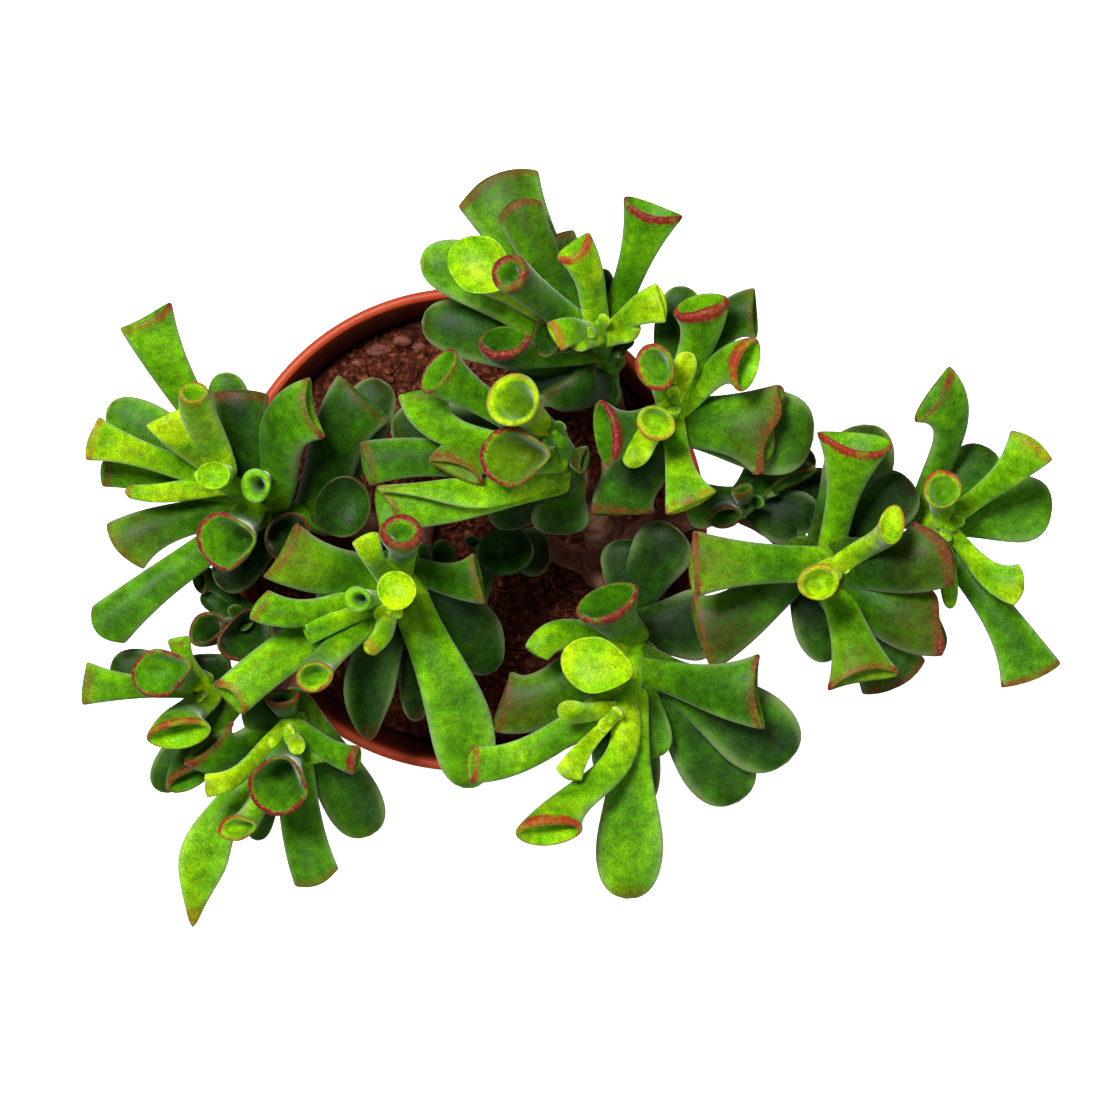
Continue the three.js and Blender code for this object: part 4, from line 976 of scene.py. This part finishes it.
secondWood = [
    ([[-12, 3, 80], [-12, 0, 105], [-12, -4, 122]], [4.6, 3.4], "shoot_mid_left"),
    ([[-12, -1, 107], [-23, 1, 115]], [4, 3.8, 3.6], "shoot_left"),
    ([[-12, -2, 108], [-24, -16, 114], [-34, -28, 118]], [3.9, 3.6, 3.3], None),
    ([[-33, -27, 118], [-38, -35, 122]], [3.2, 3, 2.9], "shoot_corner_inner"),
    ([[-33, -27, 118], [-44, -36, 121]], [3.2, 3, 2.9], "shoot_corner_outer"),
    ([[-28, -21, 115.5], [-34, -20, 116]], [3, 2.9, 2.8], "shoot_low_left"),
]

# Pot

potShape = {
    "rim": 60,
    "height": 105,
    "base": 43,
    "wall": 1.6,
    "collar": 15,
    "collarStep": 1.6,
    "lip": 2.6,
    "floor": 2,
    "foot": 3,
    "footWidth": 4,
    "disc": 14,
    "edge": 0.6,
    "sides": 144,
    "drainHoles": 6,
    "drainRadius": 3.2,
    "drainRing": 27,
    "drillDepth": 20,
}
potLook = {
    "dull": (0.42, 0.05, 0.014, 1),
    "bright": (0.48, 0.07, 0.02, 1),
    "grime": (0.22, 0.03, 0.014, 1),
    # dark colour of the painted shade under the lip and the soil stain
    "wetSoilAndShade": (0.05, 0.01, 0.008, 1),
    "roughness": 0.42,
    "specular": 0.2,
}


def potWall(height):
    share = height / potShape["height"]
    return lerp(potShape["base"], potShape["rim"] - potShape["collarStep"], share)


def potOutline():
    rim, top, base, edge = (potShape[key] for key in ("rim", "height", "base", "edge"))
    foot, wall, disc = (potShape[key] for key in ("foot", "wall", "disc"))
    footInside = base - potShape["footWidth"]
    lipInside = rim - potShape["lip"]
    collarBottom = top - potShape["collar"]
    collarWall = potWall(collarBottom)
    floorTop = foot + potShape["floor"]
    floorWall = potWall(floorTop) - wall
    return [
        (0, 0),
        (disc, 0),
        (disc + 1.5, foot),
        (footInside, foot),
        (footInside + edge, 0),
        (base - edge, 0),
        (base, edge),
        (collarWall - 0.3, collarBottom - 0.3),
        (collarWall, collarBottom),
        (rim - edge, collarBottom + edge),
        (rim - 0.2, collarBottom + 2 * edge),
        (rim, top - 1.2),
        (rim - 0.3, top - 0.35),
        (rim - 0.9, top),
        (lipInside + 0.8, top),
        (lipInside + 0.2, top - 0.4),
        (lipInside, top - 1.2),
        (collarWall - wall, collarBottom - 2),
        (floorWall - 1, floorTop + 1),
        (floorWall - 3, floorTop),
        (0, floorTop),
    ]


def addPot():
    bm = spunShell(potOutline(), up, potShape["sides"])
    pot = newPiece("potShell", bm, potMaterial(), "pot", levels=0)
    cutDrainHoles(pot)


def cutDrainHoles(pot):
    bm = bmesh.new()
    radius = potShape["drainRadius"] * mm
    for i in range(potShape["drainHoles"]):
        turn = (i + 0.5) / potShape["drainHoles"] * fullTurn
        made = bmesh.ops.create_cone(bm, cap_ends=True, segments=24, depth=potShape["drillDepth"] * mm,
                                     radius1=radius, radius2=radius)
        place = Vector((math.cos(turn), math.sin(turn), 0)) * potShape["drainRing"] * mm
        bmesh.ops.translate(bm, vec=place, verts=made["verts"])
    drills = newObject("drills", meshFrom("drills", bm))
    cut = pot.modifiers.new("drains", "BOOLEAN")
    cut.operation = "DIFFERENCE"
    cut.solver = "EXACT"
    cut.object = drills
    shaped = bpy.data.meshes.new_from_object(pot.evaluated_get(bpy.context.evaluated_depsgraph_get()))
    pot.modifiers.remove(cut)
    pot.data = shaped
    bpy.data.objects.remove(drills)


def potMaterial():
    material, tree, shader = newMaterial("pottedPlastic")
    coords = objectCoords(tree)
    cloud = rangeOf(tree, noiseOn(tree, coords, 35, 4), 0.35, 0.65)
    color = mixColor(tree, cloud, potLook["dull"], potLook["bright"])
    grime = rangeOf(tree, noiseOn(tree, coords, 160, 5, 0.7), 0.56, 0.7, (0, 0.35))
    color = mixColor(tree, grime, color, potLook["grime"])
    # painted shade under the lip, with a soil stain, on the inner wall
    color = mixColor(tree, soilStainAndShade(tree, coords), color, potLook["wetSoilAndShade"])
    setSurface(tree, shader, color, potLook["roughness"], potLook["specular"])
    bumpOn(tree, shader, [(noiseOn(tree, coords, 900, 2), 0.00004, 0.4)])
    return material


# Painted shade under the lip, together with a wet soil stain, darkens the inner wall just below the lip.
def soilStainAndShade(tree, coords):
    flat = addNode(tree, "ShaderNodeVectorMath", {0: coords, 1: (1, 1, 0)}, operation="MULTIPLY").outputs[0]
    radius = addNode(tree, "ShaderNodeVectorMath", {0: flat}, operation="LENGTH").outputs["Value"]
    limit = (potShape["rim"] - potShape["lip"]) * mm
    within = rangeOf(tree, radius, limit + 0.0004, limit - 0.0004)
    low = rangeOf(tree, partsOf(tree, coords)[2], 0.104, 0.0985, (0.25, 0.9))
    return mathNode(tree, "MULTIPLY", within, low)


# Soil: a crumbly bed with lumps and fibres

soilShape = {
    "top": 90,
    "crown": 2.5,
    "wave": 0.72,
    "lump": 0.54,
    "drop": 0.7,
    "slack": 0.7,
    "sides": 150,
    "rings": 44,
    "crumbs": 420,
    "crumbSize": (0.4, 1.5),
    "fibres": 150,
    "fibreLength": (5, 13),
    "fibreRadius": (0.12, 0.3),
    "dryLumps": [(-22, 45, 2.4), (-16, 47.5, 2), (-12, 46, 1.6),
                 (-27, 42, 1.5), (-33, 35, 1.4), (16, -10, 1.3)],
}
soilColors = {
    "peat": [(0.34, (0.007, 0.002, 0.0015)), (0.52, (0.07, 0.015, 0.007)), (0.66, (0.24, 0.07, 0.035))],
    "coir": [(0.32, (0.03, 0.007, 0.004)), (0.52, (0.17, 0.045, 0.018)), (0.68, (0.4, 0.15, 0.07))],
    "dryPeat": [(0.32, (0.07, 0.02, 0.014)), (0.52, (0.24, 0.08, 0.055)), (0.7, (0.4, 0.16, 0.115))],
    "damp": (0.02, 0.005, 0.003, 1),
}
soilEdge = potWall(soilShape["top"]) - potShape["wall"]


def soilHeight(x, y):
    share = math.hypot(x, y) / soilEdge
    waves = math.sin(x * 0.31 + 1.3) * math.cos(y * 0.27) + math.sin((x + y) * 0.19)
    height = soilShape["top"] + soilShape["crown"] * (1 - share * share) + waves * soilShape["wave"]
    lumps = noise.noise(Vector((x, y, 0)) * 0.35)
    crumbs = noise.noise(Vector((x, y, 4)) * 0.9) * 0.7 + noise.noise(Vector((x, y, 9)) * 2.0) * 0.35
    return height + lumps * soilShape["lump"] + crumbs * 0.8 - soilShape["drop"]


def addSoilBed(material):
    edge = soilEdge - soilShape["slack"]
    floorTop = potShape["foot"] + potShape["floor"]
    low = potWall(floorTop) - potShape["wall"]
    rings = soilShape["rings"]
    top = soilShape["top"]
    points = [(0, floorTop + 0.3), (low - 4.4, floorTop + 0.3), (low - 1.6, floorTop + 3), (edge, top - 2)]
    points += [(edge * (1 - i / rings), top) for i in range(1, rings)] + [(0, top)]
    bm = spunShell(points, up, soilShape["sides"])
    for vert in bm.verts:
        if vert.co.z > top - 1:
            vert.co.z = soilHeight(vert.co.x, vert.co.y)
    newPiece("soilBed", bm, material, "soil", levels=0)


def randomSpot(rng, reach):
    radius = reach * math.sqrt(rng.random())
    turn = rng.uniform(0, fullTurn)
    return radius * math.cos(turn), radius * math.sin(turn)


def addSoilCrumbs(material):
    rng = random.Random(7)
    template = spunTemplate("fibreTemplate", tubeRings(7) + [(0, 1)], 5)
    bm = bmesh.new()
    reach = soilEdge - 4
    for i in range(soilShape["crumbs"]):
        x, y = randomSpot(rng, reach)
        size = rng.uniform(*soilShape["crumbSize"])
        made = bmesh.ops.create_icosphere(bm, subdivisions=1, radius=size)
        for vert in made["verts"]:
            vert.co *= rng.uniform(0.7, 1.25)
        bmesh.ops.scale(bm, vec=(rng.uniform(0.7, 1.6), 1, 0.7), verts=made["verts"])
        bmesh.ops.translate(bm, vec=(x, y, soilHeight(x, y) + size * 0.25), verts=made["verts"])
    for i in range(soilShape["fibres"]):
        addFibre(bm, template, rng, reach)
    newPiece("soilCrumbs", bm, material, None, levels=0)


def addFibre(bm, template, rng, reach):
    x, y = randomSpot(rng, reach - 6)
    turn = rng.uniform(0, fullTurn)
    length = rng.uniform(*soilShape["fibreLength"])
    curl = rng.uniform(-1.6, 1.6)
    radius = rng.uniform(*soilShape["fibreRadius"])
    for vert in appendTemplate(bm, template):
        u, along, v = vert.co
        heading = turn + curl * (along - 0.5)
        ahead = Vector((math.cos(heading), math.sin(heading), 0))
        place = Vector((x, y, 0)) + ahead * (along - 0.5) * length
        place.x = min(max(place.x, -reach), reach)
        sideways = Vector((-math.sin(heading), math.cos(heading), 0))
        rise = math.sin(along * math.pi) * 1.1 + 0.3
        vert.co = place + sideways * u * radius + up * (v * radius + soilHeight(place.x, place.y) + rise)


# Dry, pinkish lumps of peat by the wall
def addDryLumps(material):
    rng = random.Random(3)
    bm = bmesh.new()
    for x, y, size in soilShape["dryLumps"]:
        made = bmesh.ops.create_icosphere(bm, subdivisions=2, radius=size)
        for vert in made["verts"]:
            vert.co *= rng.uniform(0.7, 1.2)
        bmesh.ops.scale(bm, vec=(1.3, 0.75, 0.5), verts=made["verts"])
        bmesh.ops.translate(bm, vec=(x, y, soilHeight(x, y) + size * 0.1), verts=made["verts"])
    newPiece("paleLumps", bm, material, None, levels=0)


def soilMaterial(name):
    material, tree, shader = newMaterial(name)
    coords = objectCoords(tree)
    grain = noiseOn(tree, coords, 650, 5, 0.65)
    patch = rangeOf(tree, noiseOn(tree, coords, 120, 2), 0.35, 0.65, (0, 0.5))
    color = mixColor(tree, patch, rampColor(tree, grain, soilColors[name]), soilColors["damp"])
    setSurface(tree, shader, color, 0.9, 0.05)
    bumpOn(tree, shader, [(grain, 0.0005, 0.8)])
    return material


# Woody stems

woodShape = {
    "sides": 16,
    "steps": 26,
    "ring": 5.5,
    "ringSwell": 0.06,
    "slim": 0.04,
    "knot": 0.07,
    "below": 4.3,     # where a branch turns upright under its shoot, and how far it goes into it
    "into": 1.5,
    "colors": [(0.3, (0.09, 0.03, 0.018)), (0.5, (0.27, 0.11, 0.065)), (0.7, (0.46, 0.25, 0.16))],
}


def addWood(name, branches, node, material):
    bm = bmesh.new()
    layersOf(bm)
    template = spunTemplate("woodTemplate", tubeRings(woodShape["steps"]) + [(0, 1)], woodShape["sides"])
    for path, radii, carried in branches:
        points = [Vector(point) for point in path]
        if carried:
            foot = Vector(shoots[carried]["stem"][0])
            points += [foot - up * woodShape["below"], foot + up * woodShape["into"]]
        length = lengthOf(points)
        for vert in appendTemplate(bm, template):
            u, along, v = vert.co
            centre, forward, sideways, lift, radius = tubeAt(points, radii, along)
            ring = max(math.sin(along * length / woodShape["ring"] * fullTurn), 0) ** 4
            radius *= 1 + woodShape["ringSwell"] * ring - woodShape["slim"]
            radius *= 1 + woodShape["knot"] * noise.noise((centre + sideways * u * 4 + lift * v * 4) * 0.25)
            vert.co = centre + sideways * (u * radius) + lift * (v * radius)
    newPiece(name, bm, material, node)


def woodMaterial():
    material, tree, shader = newMaterial("jadeBark")
    coords = objectCoords(tree)
    cloud = noiseOn(tree, coords, 140, 4, 0.6)
    fine = noiseOn(tree, coords, 1100, 3, 0.6)
    color = shade(tree, rampColor(tree, cloud, woodShape["colors"]), fine, 0.3, 0.7, (0.75, 1.15))
    setSurface(tree, shader, color, 0.75, 0.1)
    bumpOn(tree, shader, [(cloud, 0.0006, 0.6), (fine, 0.0001, 0.5)])
    return material


# Build

addPot()
print("pot done")
addSoilBed(soilMaterial("peat"))
addSoilCrumbs(soilMaterial("coir"))
addDryLumps(soilMaterial("dryPeat"))
print("soil done")
bark = woodMaterial()
addWood("woodMainFine", mainWood, "wood_main", bark)
addWood("woodSecondFine", secondWood, "wood_second", bark)
print("wood done")
templates = {"cup": cupTemplate(), "blade": bladeTemplate(), "stem": stemTemplate()}
leafFinish = leafMaterial()
for shootName, shoot in shoots.items():
    addShoot(shootName, shoot, templates, leafFinish)
    print(shootName, "done")
